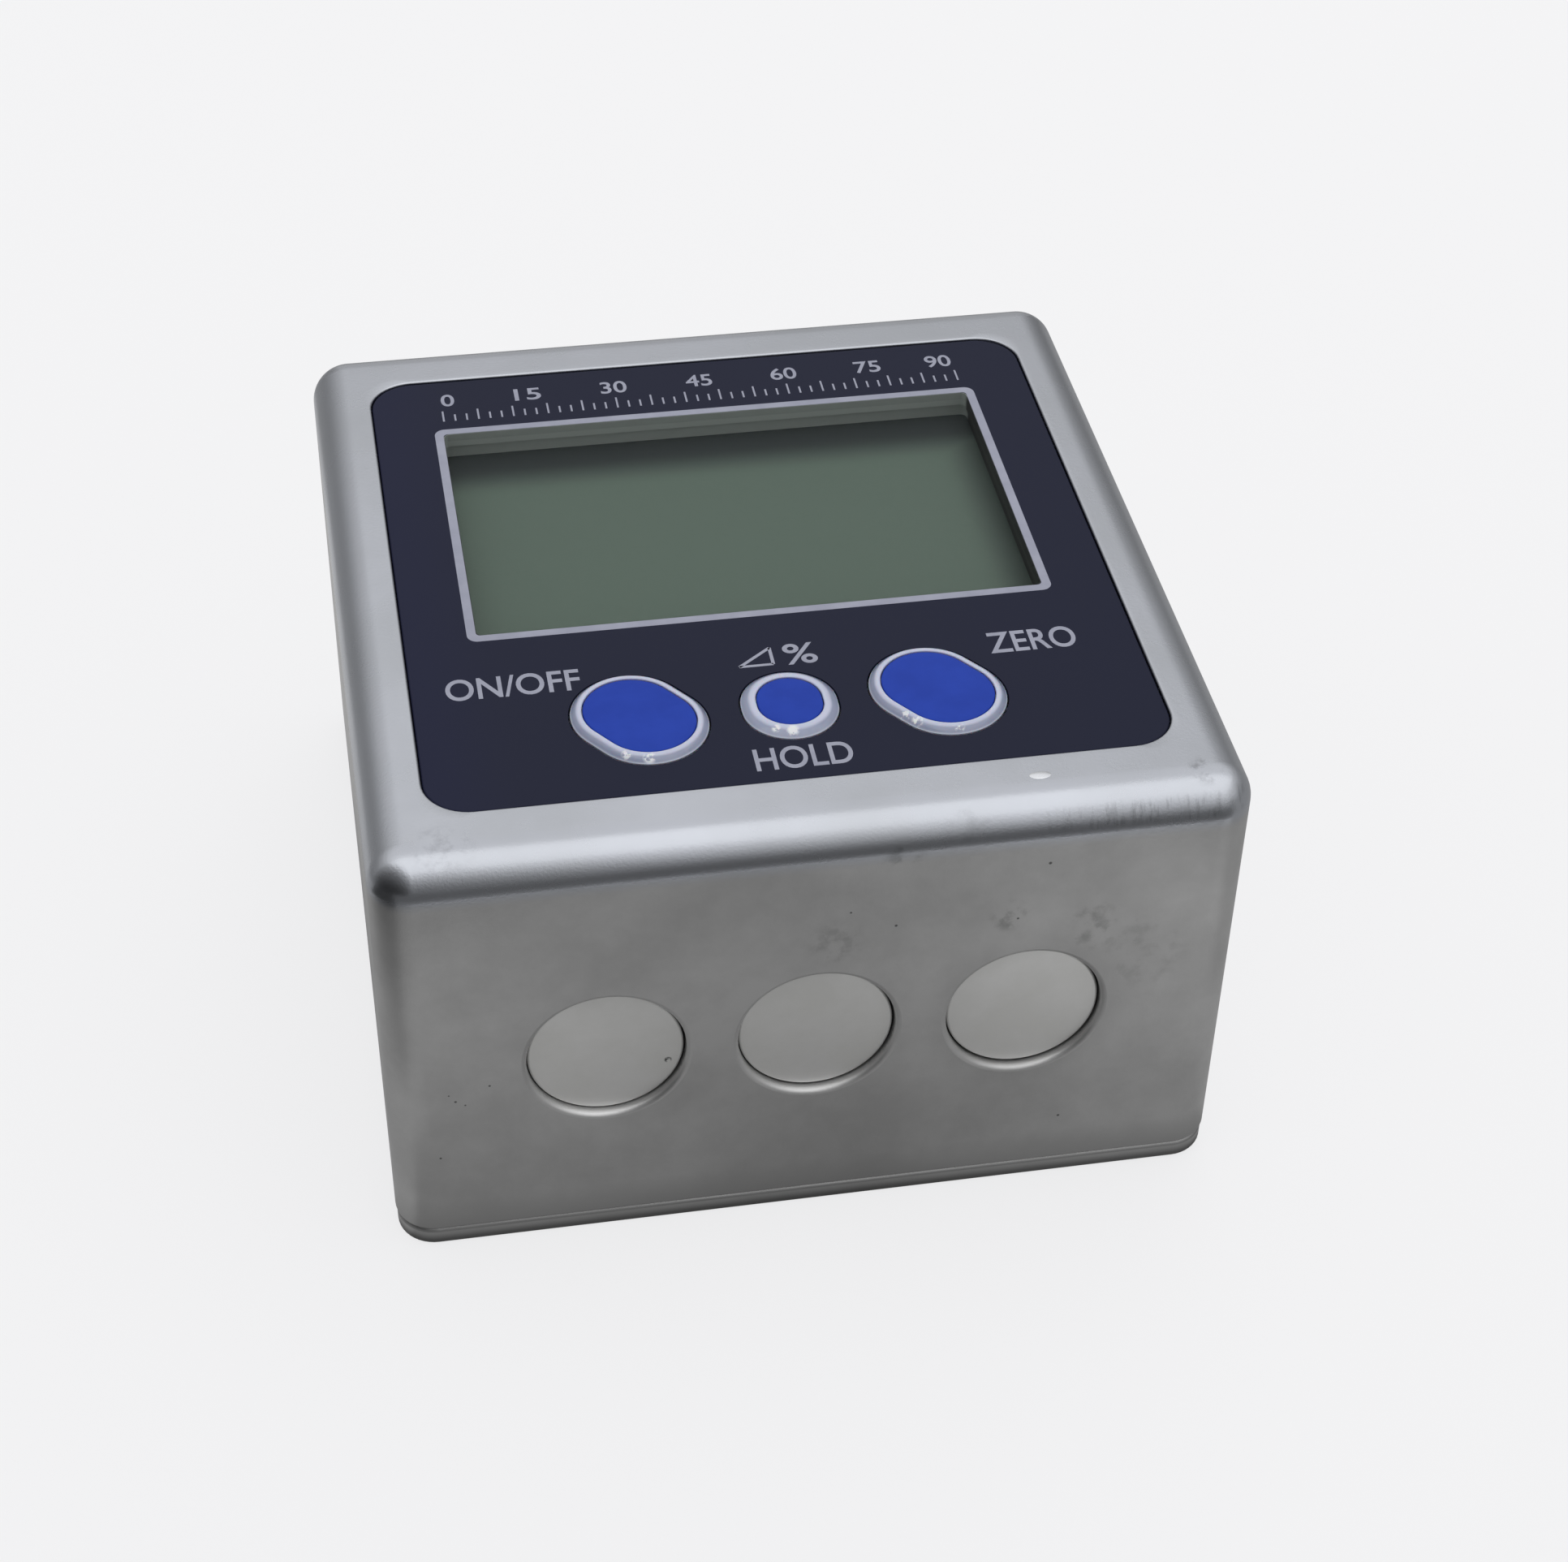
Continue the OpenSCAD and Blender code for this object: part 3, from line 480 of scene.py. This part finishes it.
# a profile carried round a rounded rectangle and back to its start: up the outside, over the rounded edge,
# across the face to the opening, down its lip, and back along the sheet's inside
def makeCover(c):
    rim, foot = c["edge"], c["footRound"]
    inner = rim - c["sheet"]
    footInset, footZ = arc(foot, c["foot"] + foot, foot, 270, 180, 4)
    sideInset, sideZ = arc(rim, c["top"] - rim, rim, 180, 90, 20)
    backInset, backZ = arc(rim, c["top"] - rim, inner, 90, 180, 10)
    inset = np.concatenate([footInset, sideInset])
    height = np.concatenate([footZ, sideZ])
    outer = roundedRings(c["halfX"] - inset, c["halfY"] - inset, c["corner"] - inset, height)
    blend = np.linspace(0, 1, 6)[1:]  # across the face, from the fillet's end to the lip
    lipAway, lipZ = arc(c["lip"], c["top"] - c["lip"], c["lip"], 90, 180, 4)
    endX, endY = c["openX"] + c["lip"], c["openY"] + c["lip"]
    startX, startY, startR = c["halfX"] - rim, c["halfY"] - rim, c["corner"] - rim
    endR = c["openR"] + c["lip"]
    face = roundedRings(startX + (endX - startX) * blend, startY + (endY - startY) * blend,
                        startR + (endR - startR) * blend, c["top"] + 0 * blend)
    lip = roundedRings(c["openX"] + lipAway[1:], c["openY"] + lipAway[1:], c["openR"] + lipAway[1:], lipZ[1:])
    ledge = np.array([0, c["ledge"]])
    under = roundedRings(c["openX"] + ledge, c["openY"] + ledge, c["openR"] + ledge,
                         c["top"] - c["sheet"] + 0 * ledge)
    inside = roundedRings(c["halfX"] - backInset, c["halfY"] - backInset, c["corner"] - backInset, backZ)
    wall = np.array([c["sheet"]])
    heel = roundedRings(c["halfX"] - wall, c["halfY"] - wall, c["corner"] - wall, [c["foot"]])
    profile = np.concatenate([outer, face, lip, under, inside, heel])
    shell = gridMesh("steel_cover", profile[:, ::-1], closeRows=True)
    # hole cutters flare towards the wall along most of a quarter circle, which leaves a rounded mouth
    mouth, wallY = c["holeRound"], -c["halfY"]
    outwards, inwards = c["cutReach"]
    flareR, flareY = arc(c["holeR"] + mouth, mouth + wallY, mouth, c["flareFrom"], 180, 8)
    flareR = np.concatenate([[flareR[0] + c["flareWider"] * mouth] * 2, flareR, [c["holeR"]]])
    flareY = np.concatenate([[wallY - outwards, wallY - c["flareOff"]], flareY, [wallY + inwards]])
    rings = [discRings(flareR, flareY, (x, c["holeZ"]), 128)[:, ::-1] for x in c["holeX"]]
    cutOut(shell, [gridMesh("hole_cutter", ring, capFirst=True, capLast=True) for ring in rings])
    return finishPiece(shell, finishes["steel"], "case", ["front_cover"], evenFlats=True)


coverObj = makeCover(cover)
print("cover:", len(coverObj.data.polygons), "faces")


# Face panel

keyRow = -16.47
# place across the panel, half the straight length, end radius at the panel and at the coloured top, and turn
keys = {
    "power": {"x": -9.55, "half": 0.8, "base": 3.8, "top": 3.02, "turn": 127},
    "hold": {"x": 0.0, "half": 0.25, "base": 3.08, "top": 2.07, "turn": 90},
    "zero": {"x": 9.55, "half": 0.8, "base": 3.8, "top": 3.02, "turn": 127},
}
panel = {"halfX": 23.51, "halfY": 23.71, "radius": 2.94, "low": 31.85, "high": 32.85, "round": 0.14,
         "windowX": 18.8, "windowY": 11.7, "windowR": 0.4, "windowAt": 5.27,
         "keyGap": 0.12, "broken": 0.05, "cutReach": 1}


# flat plate: rounded rectangles up its side and over a small rounded edge, closed by flat faces,
# with the window and the keys' holes taken out
def makePanelPlate(p):
    inset, height = arc(p["round"], p["high"] - p["round"], p["round"], 180, 90, 4)
    inset, height = np.append(0.0, inset), np.append(p["low"], height)
    rings = roundedRings(p["halfX"] - inset, p["halfY"] - inset, p["radius"] - inset, height)
    plate = gridMesh("face_plate", rings, capFirst=True, capLast=True)
    through = np.array([p["low"] - p["cutReach"], p["high"] + p["cutReach"]])
    holes = {"window": roundedRings([p["windowX"]] * 2, p["windowY"], p["windowR"], through, 6, 2,
                                    (0, p["windowAt"]))}
    for name, k in keys.items():
        wide = k["base"] + p["keyGap"]
        holes[name] = stadiumRings([k["half"]] * 2, wide, through, k["turn"], (k["x"], keyRow))
    cutOut(plate, [gridMesh(name + "_cutter", hole, capFirst=True, capLast=True)
                   for name, hole in holes.items()])
    breakEdges(plate, p["broken"])
    return finishPiece(plate, finishes["panel"], "case", ["face_panel"], evenFlats=True)


gasket = {"halfX": 18.79, "halfY": 11.69, "wellX": 18.97, "radius": 0.4, "thin": 0.03,
          "high": 32.84, "step": 31.845, "low": 30.86,
          # far colour and the places along y where it comes in: painted light on the well's far wall
          "look": {"colour": (40, 44, 44), "pale": (44, 44, 46), "grainScale": 3000, "grain": 0.04,
                   "far": (150, 158, 153), "paintedLightFrom": (16.2, 16.6)}}


# thin strip round the window, with painted light along its far side: a profile carried round a rounded
# rectangle, down beside the lens, out under the panel and down the frame's well, then back at the strip's
# thickness
def makeGasket(g):
    out = np.array([0, 0, 1, 1, 1, 1, 0, 0]) * (g["wellX"] - g["halfX"])
    inward = np.array([0, 0, 0, 0, 1, 1, 1, 1]) * g["thin"]
    turned = g["step"] - g["thin"]
    height = np.array([g["high"], g["step"], g["step"], g["low"], g["low"], turned, turned, g["high"]])
    size = out - inward
    rings = roundedRings(g["halfX"] + size, g["halfY"] + size, g["radius"] + size * 0.5, height, 6, 2,
                         (0, panel["windowAt"]))
    strip = gridMesh("window_gasket", rings[:, ::-1], closeRows=True)
    return finishPiece(strip, makeMould(g["look"], "gasket_painted_light"), "case", smoothBelow=20)


panelObj = makePanelPlate(panel)
makeGasket(gasket)
print("panel:", len(panelObj.data.polygons), "faces")


# Keys

keyForm = {"high": 33.27, "panel": 32.85, "pocket": 32.77, "stemR": 1.9, "stemLow": 30.35,
           "flangeLow": 31.3, "flangeHigh": 31.8, "flange": 0.6, "gap": 0.05, "sink": 0.02, "dome": 0.04,
           "lean": 0.06, "ridge": 0.14, "step": 0.05, "round": 0.1,
           # power that bows the rim's slope, and share of the width that is left at the dome's tip
           "bow": 0.9, "tip": 0.02}


# milky cap: one closed profile of round-ended rings from the stem up, over the flange, the upright base and
# the bowed slope of its rim, then down into the pocket of the coloured top
def makeKeyCap(name, k, f):
    slope = np.linspace(0, 1, 9)
    outside, mouth = k["base"] - f["lean"], k["top"] + f["gap"]
    flange, foot = k["base"] + f["flange"], f["panel"] + f["step"]
    rimR = outside + (mouth + f["ridge"] - outside) * slope
    rimZ = foot + (f["high"] - foot) * np.sin(slope * np.pi / 2) ** f["bow"]
    shoulderR, shoulderZ = arc(mouth + f["round"], f["high"] - f["round"], f["round"], 90, 180, 4)
    stemR = [f["stemR"], f["stemR"], flange, flange, k["base"], k["base"]]
    stemZ = [f["stemLow"], f["flangeLow"], f["flangeLow"], f["flangeHigh"], f["flangeHigh"], f["panel"]]
    radius = np.concatenate([stemR, rimR, shoulderR[1:], [mouth]])
    height = np.concatenate([stemZ, rimZ, shoulderZ[1:], [f["pocket"]]])
    half = np.concatenate([[0.0, 0.0], np.full(len(radius) - 2, k["half"])])
    rings = stadiumRings(half, radius, height, k["turn"], (k["x"], keyRow))
    cap = gridMesh(name + "_cap_form", rings, capFirst=True, capLast=True)
    return finishPiece(cap, finishes["milky_rim"], name + "_key", [name + "_key_cap"])


# coloured top: round-ended rings over a small rounded edge and up a very flat dome
def makeKeyTop(name, k, f):
    flat, peak = k["top"] - f["round"], f["high"] - f["sink"]
    edgeR, edgeZ = arc(flat, peak - f["dome"] - f["round"], f["round"], 0, 90, 5)
    crown = np.linspace(1, 0, 10)[1:]
    radius = np.concatenate([[k["top"]], edgeR, flat * np.maximum(crown, f["tip"])])
    height = np.concatenate([[f["pocket"]], edgeZ, peak - f["dome"] * crown ** 2])
    half = np.concatenate([np.full(len(edgeR) + 1, k["half"]), k["half"] * crown])
    rings = stadiumRings(half, radius, height, k["turn"], (k["x"], keyRow))
    top = gridMesh(name + "_top_form", rings, capFirst=True, capLast=True)
    return finishPiece(top, finishes["blue_top"], name + "_key", [name + "_key_top"])


for name, k in keys.items():
    makeKeyCap(name, k, keyForm)
    makeKeyTop(name, k, keyForm)
print("keys:", len(keys))


# Magnets

# place across and rise of each, which sits a little off its hole
magnet = {"radius": 5.0, "front": -28.15, "thick": 3.0, "round": 0.2, "z": 15.7,
          "places": {"left": (-13.535, -0.035), "middle": (-0.04, 0.0), "right": (13.48, 0.02)}}


# disc about an axis along y: flat face, rounded edge, side, rounded edge, flat back
def makeMagnet(name, x, rise, m):
    edgeR, edgeY = arc(m["radius"] - m["round"], m["front"] + m["round"], m["round"], -90, 0, 6)
    backR, backY = arc(m["radius"] - m["round"], m["front"] + m["thick"] - m["round"], m["round"], 0, 90, 6)
    rings = discRings(np.concatenate([edgeR, backR]), np.concatenate([edgeY, backY]), (x, m["z"] + rise))
    disc = gridMesh("magnet_" + name + "_form", rings[:, ::-1], capFirst=True, capLast=True)
    return finishPiece(disc, finishes["nickel"], "case", ["magnet_" + name])


for name, place in magnet["places"].items():
    makeMagnet(name, *place, magnet)
print("magnets:", len(magnet["places"]))


# Print on the panel

inkLook = {"height": 0.012, "sink": 0.002,
           "border": (19.4, 18.8), "borderY": (-7.05, 17.58), "borderInner": (-6.43, 16.97),
           "borderR": (0.7, 0.3), "borderSink": 0.01, "slope": (-2.5, -0.3, -12.2, -10.5), "slopeWide": 0.22,
           "fontThick": 0.004, "fontWider": 0.012,  # shares of the font's size
           "labels": {"ON/OFF": (-21.29, -12.75, -12.96, -10.8), "HOLD": (-3.1, 3.07, -22.6, -20.46),
                      "ZERO": (13.8, 19.6, -13.25, -11.07), "%": (0.5, 2.64, -12.43, -10.29)},
           "scale": {"x": (-18.6, 18.6), "ticks": 46, "low": 18.6, "short": 0.8, "long": 1.3, "wide": 0.13,
                     "numbers": (0, 15, 30, 45, 60, 75, 90), "digitWide": 0.95, "numberY": (20.5, 22.0)}}


# the window's border: inner and outer rounded rectangles at two heights, carried round and closed
def makeBorder(i):
    outX, inX = i["border"]
    (lowOut, highOut), (lowIn, highIn) = i["borderY"], i["borderInner"]
    base, top = panel["high"] - i["borderSink"], panel["high"] + i["height"]
    outY, inY = (highOut - lowOut) / 2, (highIn - lowIn) / 2
    outAt, inAt = (lowOut + highOut) / 2, (lowIn + highIn) / 2
    outR, inR = i["borderR"]
    grid = roundedRings([inX, outX, outX, inX], [inY, outY, outY, inY], [inR, outR, outR, inR],
                        [base, base, top, top], 8, 4)
    grid[..., 1] += np.array([inAt, outAt, outAt, inAt])[:, None]
    border = gridMesh("window_border", grid, closeRows=True)
    return finishPiece(border, ink, "case")


# flat words: the font's outlines filled, given a hair's thickness and fitted to a box on the panel
def makeWords(name, words, x0, x1, y0, y1):
    curve = bpy.data.curves.new(name, "FONT")
    curve.body, curve.size, curve.resolution_u = words, 1.0, 6
    curve.extrude, curve.offset = inkLook["fontThick"], inkLook["fontWider"]
    shaped = bpy.data.objects.new(name, curve)
    scene.collection.objects.link(shaped)
    bpy.context.view_layer.update()
    mesh = bpy.data.meshes.new_from_object(shaped.evaluated_get(bpy.context.evaluated_depsgraph_get()))
    bpy.data.objects.remove(shaped)
    bpy.data.curves.remove(curve)
    points = np.zeros(len(mesh.vertices) * 3)
    mesh.vertices.foreach_get("co", points)
    points = points.reshape(-1, 3)
    low, high = points.min(axis=0), points.max(axis=0)
    size, start = [x1 - x0, y1 - y0, inkLook["height"]], [x0, y0, panel["high"] - inkLook["sink"]]
    points = (points - low) / (high - low) * size + start
    mesh.vertices.foreach_set("co", (points * mm).ravel())
    cleanMesh(mesh)
    obj = bpy.data.objects.new(name, mesh)
    scene.collection.objects.link(obj)
    return finishPiece(obj, ink, "case", smoothBelow=20)


# flat bars, one per row of corners: the four corners at two heights, all bars in one mesh
def makeBars(name, corners):
    corners = np.asarray(corners, float)
    count = len(corners)
    low = np.dstack([corners, np.full(corners.shape[:2], panel["high"] - inkLook["sink"])])
    high = np.dstack([corners, np.full(corners.shape[:2], panel["high"] + inkLook["height"])])
    points = np.concatenate([low, high], axis=1).reshape(-1, 3)
    box = np.array([[3, 2, 1, 0], [4, 5, 6, 7], [0, 1, 5, 4], [1, 2, 6, 5], [2, 3, 7, 6], [3, 0, 4, 7]])
    faces = (np.arange(count)[:, None, None] * 8 + box).reshape(-1, 4)
    mesh = bpy.data.meshes.new(name)
    mesh.from_pydata((points * mm).tolist(), [], faces.tolist())
    mesh.update()
    obj = bpy.data.objects.new(name, mesh)
    scene.collection.objects.link(obj)
    return finishPiece(obj, ink, "case", smoothBelow=20)


# a straight row of degree marks, each third one longer, with plain numbers over it
def makeScale(s):
    place = np.linspace(*s["x"], s["ticks"])
    long = np.where(np.arange(s["ticks"]) % 3 == 0, s["long"], s["short"])
    half = s["wide"] / 2
    corners = np.stack([np.stack([place - half, place + half, place + half, place - half], axis=1),
                        np.stack([0 * long, 0 * long, long, long], axis=1) + s["low"]], axis=-1)
    makeBars("degree_marks", corners)
    for number in s["numbers"]:
        words = str(number)
        half = s["digitWide"] * len(words) / 2
        at = s["x"][0] + (s["x"][1] - s["x"][0]) * number / s["numbers"][-1]
        at = min(max(at, s["x"][0] + half), s["x"][1] - half)
        makeWords("degree_" + words, words, at - half, at + half, *s["numberY"])


# slope sign beside the per cent: three bars along a right triangle
def makeSlopeSign(x0, x1, y0, y1, wide):
    bars = []
    for (ax, ay), (bx, by) in (((x0, y0), (x1, y0)), ((x1, y0), (x1, y1)), ((x1, y1), (x0, y0))):
        length = math.hypot(bx - ax, by - ay)
        nx, ny = -(by - ay) / length * wide / 2, (bx - ax) / length * wide / 2
        bars.append([(ax - nx, ay - ny), (bx - nx, by - ny), (bx + nx, by + ny), (ax + nx, ay + ny)])
    makeBars("slope_sign", bars)


makeBorder(inkLook)
for number, (words, place) in enumerate(inkLook["labels"].items()):
    makeWords("key_label_%d" % number, words, *place)
makeSlopeSign(*inkLook["slope"], inkLook["slopeWide"])
makeScale(inkLook["scale"])
print("print on the panel made")


# Mark of use on the steel

pip = {"at": (14.0, -25.7), "half": (0.74, 0.38), "rise": 0.06, "sink": 0.02, "tip": 0.04, "power": 0.7}


# small dome on the face: its height is a power of one less the squared distance from its middle
def makePip(p):
    ring = np.linspace(1, p["tip"], 10)
    angle = np.linspace(0, 2 * np.pi, 40, endpoint=False)
    x = p["at"][0] + p["half"][0] * ring[:, None] * np.cos(angle)
    y = p["at"][1] + p["half"][1] * ring[:, None] * np.sin(angle)
    dome = (1 - ring[:, None] ** 2) ** p["power"]
    z = cover["top"] - p["sink"] + (p["rise"] + p["sink"]) * dome + 0 * x
    obj = gridMesh("face_pip", np.stack([x, y, z], axis=-1), capFirst=True, capLast=True)
    return finishPiece(obj, polished, "case")


makePip(pip)
print("mark of use made")


# Stage and light

stage = {
    "floor": 12.0, "pale": linear(248, 248, 249), "keepShadow": 0.2, "room": (0.62, 0.62, 0.63, 1.0),
    # upright cards bent round the object: from and to in degrees, rows of height and brightness,
    # and even steps along it of the brightness's share
    "wallRadius": 0.6,
    "walls": {
        "front": (200, 340, ((0.0, 0.25), (0.085, 0.37), (0.195, 0.63), (0.32, 0.83), (0.47, 1.06),
                             (0.62, 1.26)), (0.5, 0.62, 0.87, 1.15, 1.1)),
        "left": (104, 200, ((0.0, 0.30), (0.12, 0.30), (0.22, 0.39), (0.33, 0.58), (0.46, 0.76),
                            (0.56, 0.84)), (1, 1)),
        "right": (-20, 62, ((0.0, 0.32), (0.12, 0.34), (0.45, 0.84)), (1, 1, 0.9, 0.6)),
        "back": (62, 104, ((0.0, 0.60), (0.25, 0.56), (0.375, 0.70), (0.45, 0.86), (0.53, 1.0),
                           (0.62, 1.1)), (0.75, 0.95, 1, 1, 1))},
    # the same just over the floor, with rows of radius and brightness; one has steps for its radius too
    "matHeight": 0.0002,
    "mats": {
        "frontMat": (226, 276, ((0.028, 0.20), (0.047, 0.25), (0.058, 0.58), (0.0625, 0.54), (0.065, 0.18),
                                (0.09, 0.12), (0.15, 0.14), (0.6, 0.20)), (1.05, 1.12, 1.09, 1.0, 0.97)),
        "frontRightMat": (276, 318, ((0.028, 0.20), (0.047, 0.24), (0.058, 0.60), (0.0635, 0.74),
                                     (0.0665, 0.15), (0.09, 0.10), (0.15, 0.12), (0.6, 0.18)),
                          (0.95, 1.16, 1.3, 1.35), (1, 1.03, 1.1, 1.2)),
        "cornerMat": (188, 226, ((0.028, 0.28), (0.05, 0.42), (0.058, 0.38), (0.064, 0.04), (0.6, 0.06)),
                      (1.05, 1.0, 1.0, 1.05, 1.05)),
        "leftMat": (104, 188, ((0.028, 0.34), (0.05, 0.60), (0.085, 0.64), (0.12, 0.34), (0.6, 0.31)),
                    (1, 1, 0.6)),
        "rightMat": (-42, 62, ((0.028, 0.36), (0.6, 0.36)), (1, 1)),
        "backMat": (62, 104, ((0.028, 0.35), (0.05, 0.46), (0.085, 0.48), (0.12, 0.35), (0.6, 0.33)),
                    (1, 1))},
    "roof": {"x": (-0.9, 0.9), "y": (-0.6, 0.03), "z": 0.62, "glow": (1.3, 1.38)},
    # round sheets that face the object: place, radius, rows of share of the radius and brightness,
    # and how much brighter the rim is towards one side, in degrees from level
    "discs": {"flag": ((-0.127, -0.106, 0.010), 0.21,
                       ((0.02, 0.01), (0.25, 0.015), (0.5, 0.06), (0.75, 0.18), (1.0, 0.34)), (0.45, 100))},
    # place, size and power of the lamps, which all face one point
    "lamps": {"over_box": ((0.06, 0.08, 0.60), (0.5, 0.4), 0.5),
              "far_box": ((0.20, 0.40, 0.36), (0.35, 0.3), 0.3)},
    "lampTarget": (0, 0, 0.02),
}


# one where the eye, the metal or the glass looks at the room, nothing where the room gives light
def seenOn(tree):
    path = tree.nodes.new("ShaderNodeLightPath")
    seen = mathOn(tree, "MAXIMUM", path.outputs["Is Camera Ray"], path.outputs["Is Glossy Ray"])
    return mathOn(tree, "MAXIMUM", seen, path.outputs["Is Transmission Ray"])


# pale surface: mostly its own even tone for what the eye and the metal see, the rest keeps the shadow
def makePale(name, keepShadow):
    material = bpy.data.materials.new(name)
    material.use_nodes = True
    tree = material.node_tree
    tree.nodes.clear()
    out = tree.nodes.new("ShaderNodeOutputMaterial")
    cloth = tree.nodes.new("ShaderNodeBsdfDiffuse")
    cloth.inputs["Color"].default_value = stage["pale"]
    glow = tree.nodes.new("ShaderNodeEmission")
    glow.inputs["Color"].default_value = stage["pale"]
    seen = seenOn(tree)
    mix = tree.nodes.new("ShaderNodeMixShader")
    tree.links.new(mathOn(tree, "MULTIPLY", seen, 1 - keepShadow), mix.inputs["Fac"])
    tree.links.new(cloth.outputs["BSDF"], mix.inputs[1])
    tree.links.new(glow.outputs["Emission"], mix.inputs[2])
    tree.links.new(mix.outputs["Shader"], out.inputs["Surface"])
    return material


# sheet of light that only the gloss sees: its brightness is an attribute of the grid's points
def makeCard(name, grid, glow, material):
    rows, columns = grid.shape[:2]
    index = np.arange(rows * columns).reshape(rows, columns)
    faces = np.stack([index[:-1, :-1], index[:-1, 1:], index[1:, 1:], index[1:, :-1]], axis=-1).reshape(-1, 4)
    mesh = bpy.data.meshes.new("card_" + name)
    mesh.from_pydata(grid.reshape(-1, 3).tolist(), [], faces.tolist())
    level = mesh.attributes.new("glow", "FLOAT", "POINT")
    level.data.foreach_set("value", glow.ravel())
    mesh.materials.append(material)
    card = bpy.data.objects.new("card_" + name, mesh)
    card.visible_camera = card.visible_diffuse = card.visible_shadow = card.visible_transmission = False
    scene.collection.objects.link(card)


# plain light, as strong as the points' own brightness
def makeGlow():
    material = bpy.data.materials.new("card_light")
    material.use_nodes = True
    tree = material.node_tree
    tree.nodes.clear()
    level = tree.nodes.new("ShaderNodeAttribute")
    level.attribute_name = "glow"
    light = tree.nodes.new("ShaderNodeEmission")
    out = tree.nodes.new("ShaderNodeOutputMaterial")
    tree.links.new(level.outputs["Fac"], light.inputs["Strength"])
    tree.links.new(light.outputs["Emission"], out.inputs["Surface"])
    return material


def makeFloor(s):
    corners = np.array([[-1, -1, 0], [1, -1, 0], [1, 1, 0], [-1, 1, 0]]) * s["floor"]
    mesh = bpy.data.meshes.new("floor")
    mesh.from_pydata(corners.tolist(), [], [(0, 1, 2, 3)])
    floor = bpy.data.objects.new("floor", mesh)
    floor.data.materials.append(makePale("pale_floor", s["keepShadow"]))
    scene.collection.objects.link(floor)


# cards bent round the object: each row's radius turned from one angle to the other, its brightness times
# the share along the card; then a flat roof, and discs whose rings lie square to the line to the object
def makeCards(s):
    light = makeGlow()
    along = np.linspace(0, 1, 41)
    for name, (start, end, rows, *shares) in (s["walls"] | s["mats"]).items():
        angle = np.radians(start + (end - start) * along)
        rows = np.array(rows)
        steps = [np.interp(along, np.linspace(0, 1, len(share)), share) for share in shares]
        if name in s["walls"]:
            reach, height = s["wallRadius"], rows[:, :1]
        else:
            reach, height = rows[:, :1] * (steps[1] if len(steps) > 1 else 1.0), s["matHeight"]
        grid = np.stack(np.broadcast_arrays(reach * np.cos(angle), reach * np.sin(angle), height), axis=-1)
        makeCard(name, grid, rows[:, 1:] * steps[0], light)
    roof = s["roof"]
    x, y = np.meshgrid(roof["x"], roof["y"])
    glow = np.repeat(np.array(roof["glow"])[:, None], 2, axis=1)
    makeCard("roof", np.stack([x, y, np.full((2, 2), roof["z"])], axis=-1), glow, light)
    turn = np.linspace(0, 2 * np.pi, 33)[None, :, None]
    for name, (place, radius, rows, (rise, towards)) in s["discs"].items():
        place, rows = np.array(place), np.array(rows)
        across = np.array([-place[1], place[0], 0.0]) / math.hypot(place[0], place[1])
        upward = np.cross(place, across) / np.linalg.norm(place)
        grid = place + rows[:, :1, None] * radius * (np.cos(turn) * across + np.sin(turn) * upward)
        lean = np.maximum(np.cos(turn[..., 0] - math.radians(towards)), 0)
        makeCard(name, grid, rows[:, 1:] + rise * rows[:, :1] ** 3 * lean, light)


# the room gives an even light, and is as pale as the floor where it is seen
def makeRoom(s):
    world = bpy.data.worlds.new("soft_room")
    scene.world = world
    world.use_nodes = True
    tree = world.node_tree
    back = tree.nodes["Background"]
    back.inputs["Strength"].default_value = 1.0
    tree.links.new(mixColours(tree, seenOn(tree), s["room"], s["pale"]), back.inputs["Color"])


def addLamp(name, place, target, size, power):
    lamp = bpy.data.lights.new(name, "AREA")
    lamp.shape, lamp.size, lamp.size_y = "RECTANGLE", size[0], size[1]
    lamp.energy = power
    obj = bpy.data.objects.new(name, lamp)
    obj.location = place
    obj.rotation_mode = "QUATERNION"
    obj.rotation_quaternion = (Vector(target) - Vector(place)).to_track_quat("-Z", "Y")
    obj.visible_glossy = False
    scene.collection.objects.link(obj)


makeFloor(stage)
makeCards(stage)
makeRoom(stage)
for name, (place, size, power) in stage["lamps"].items():
    addLamp(name, place, stage["lampTarget"], size, power)
print("stage and light set")


# Camera

# place in mm, two directions, focal length and frame width in the photograph's pixels
shot = {"place": (-28.83, -165.24, 155.071), "forward": (0.1439, 0.74898, -0.64677),
        "right": (0.98471, -0.17319, 0.01853), "focal": 3803.261, "frameWide": 1932, "clip": (0.005, 40)}


def makeCamera(s):
    data = bpy.data.cameras.new("photo_view")
    data.sensor_width = 36.0
    data.lens = s["focal"] / s["frameWide"] * data.sensor_width
    data.clip_start, data.clip_end = s["clip"]
    forward = Vector(s["forward"]).normalized()
    right = (Vector(s["right"]) - forward * forward.dot(Vector(s["right"]))).normalized()
    up = right.cross(forward)
    obj = bpy.data.objects.new("photo_view", data)
    turn = Matrix((right, up, -forward)).transposed()
    obj.matrix_world = Matrix.Translation(Vector(s["place"]) * mm) @ turn.to_4x4()
    scene.collection.objects.link(obj)
    scene.camera = obj


makeCamera(shot)
print("camera set")

print("scene finished")
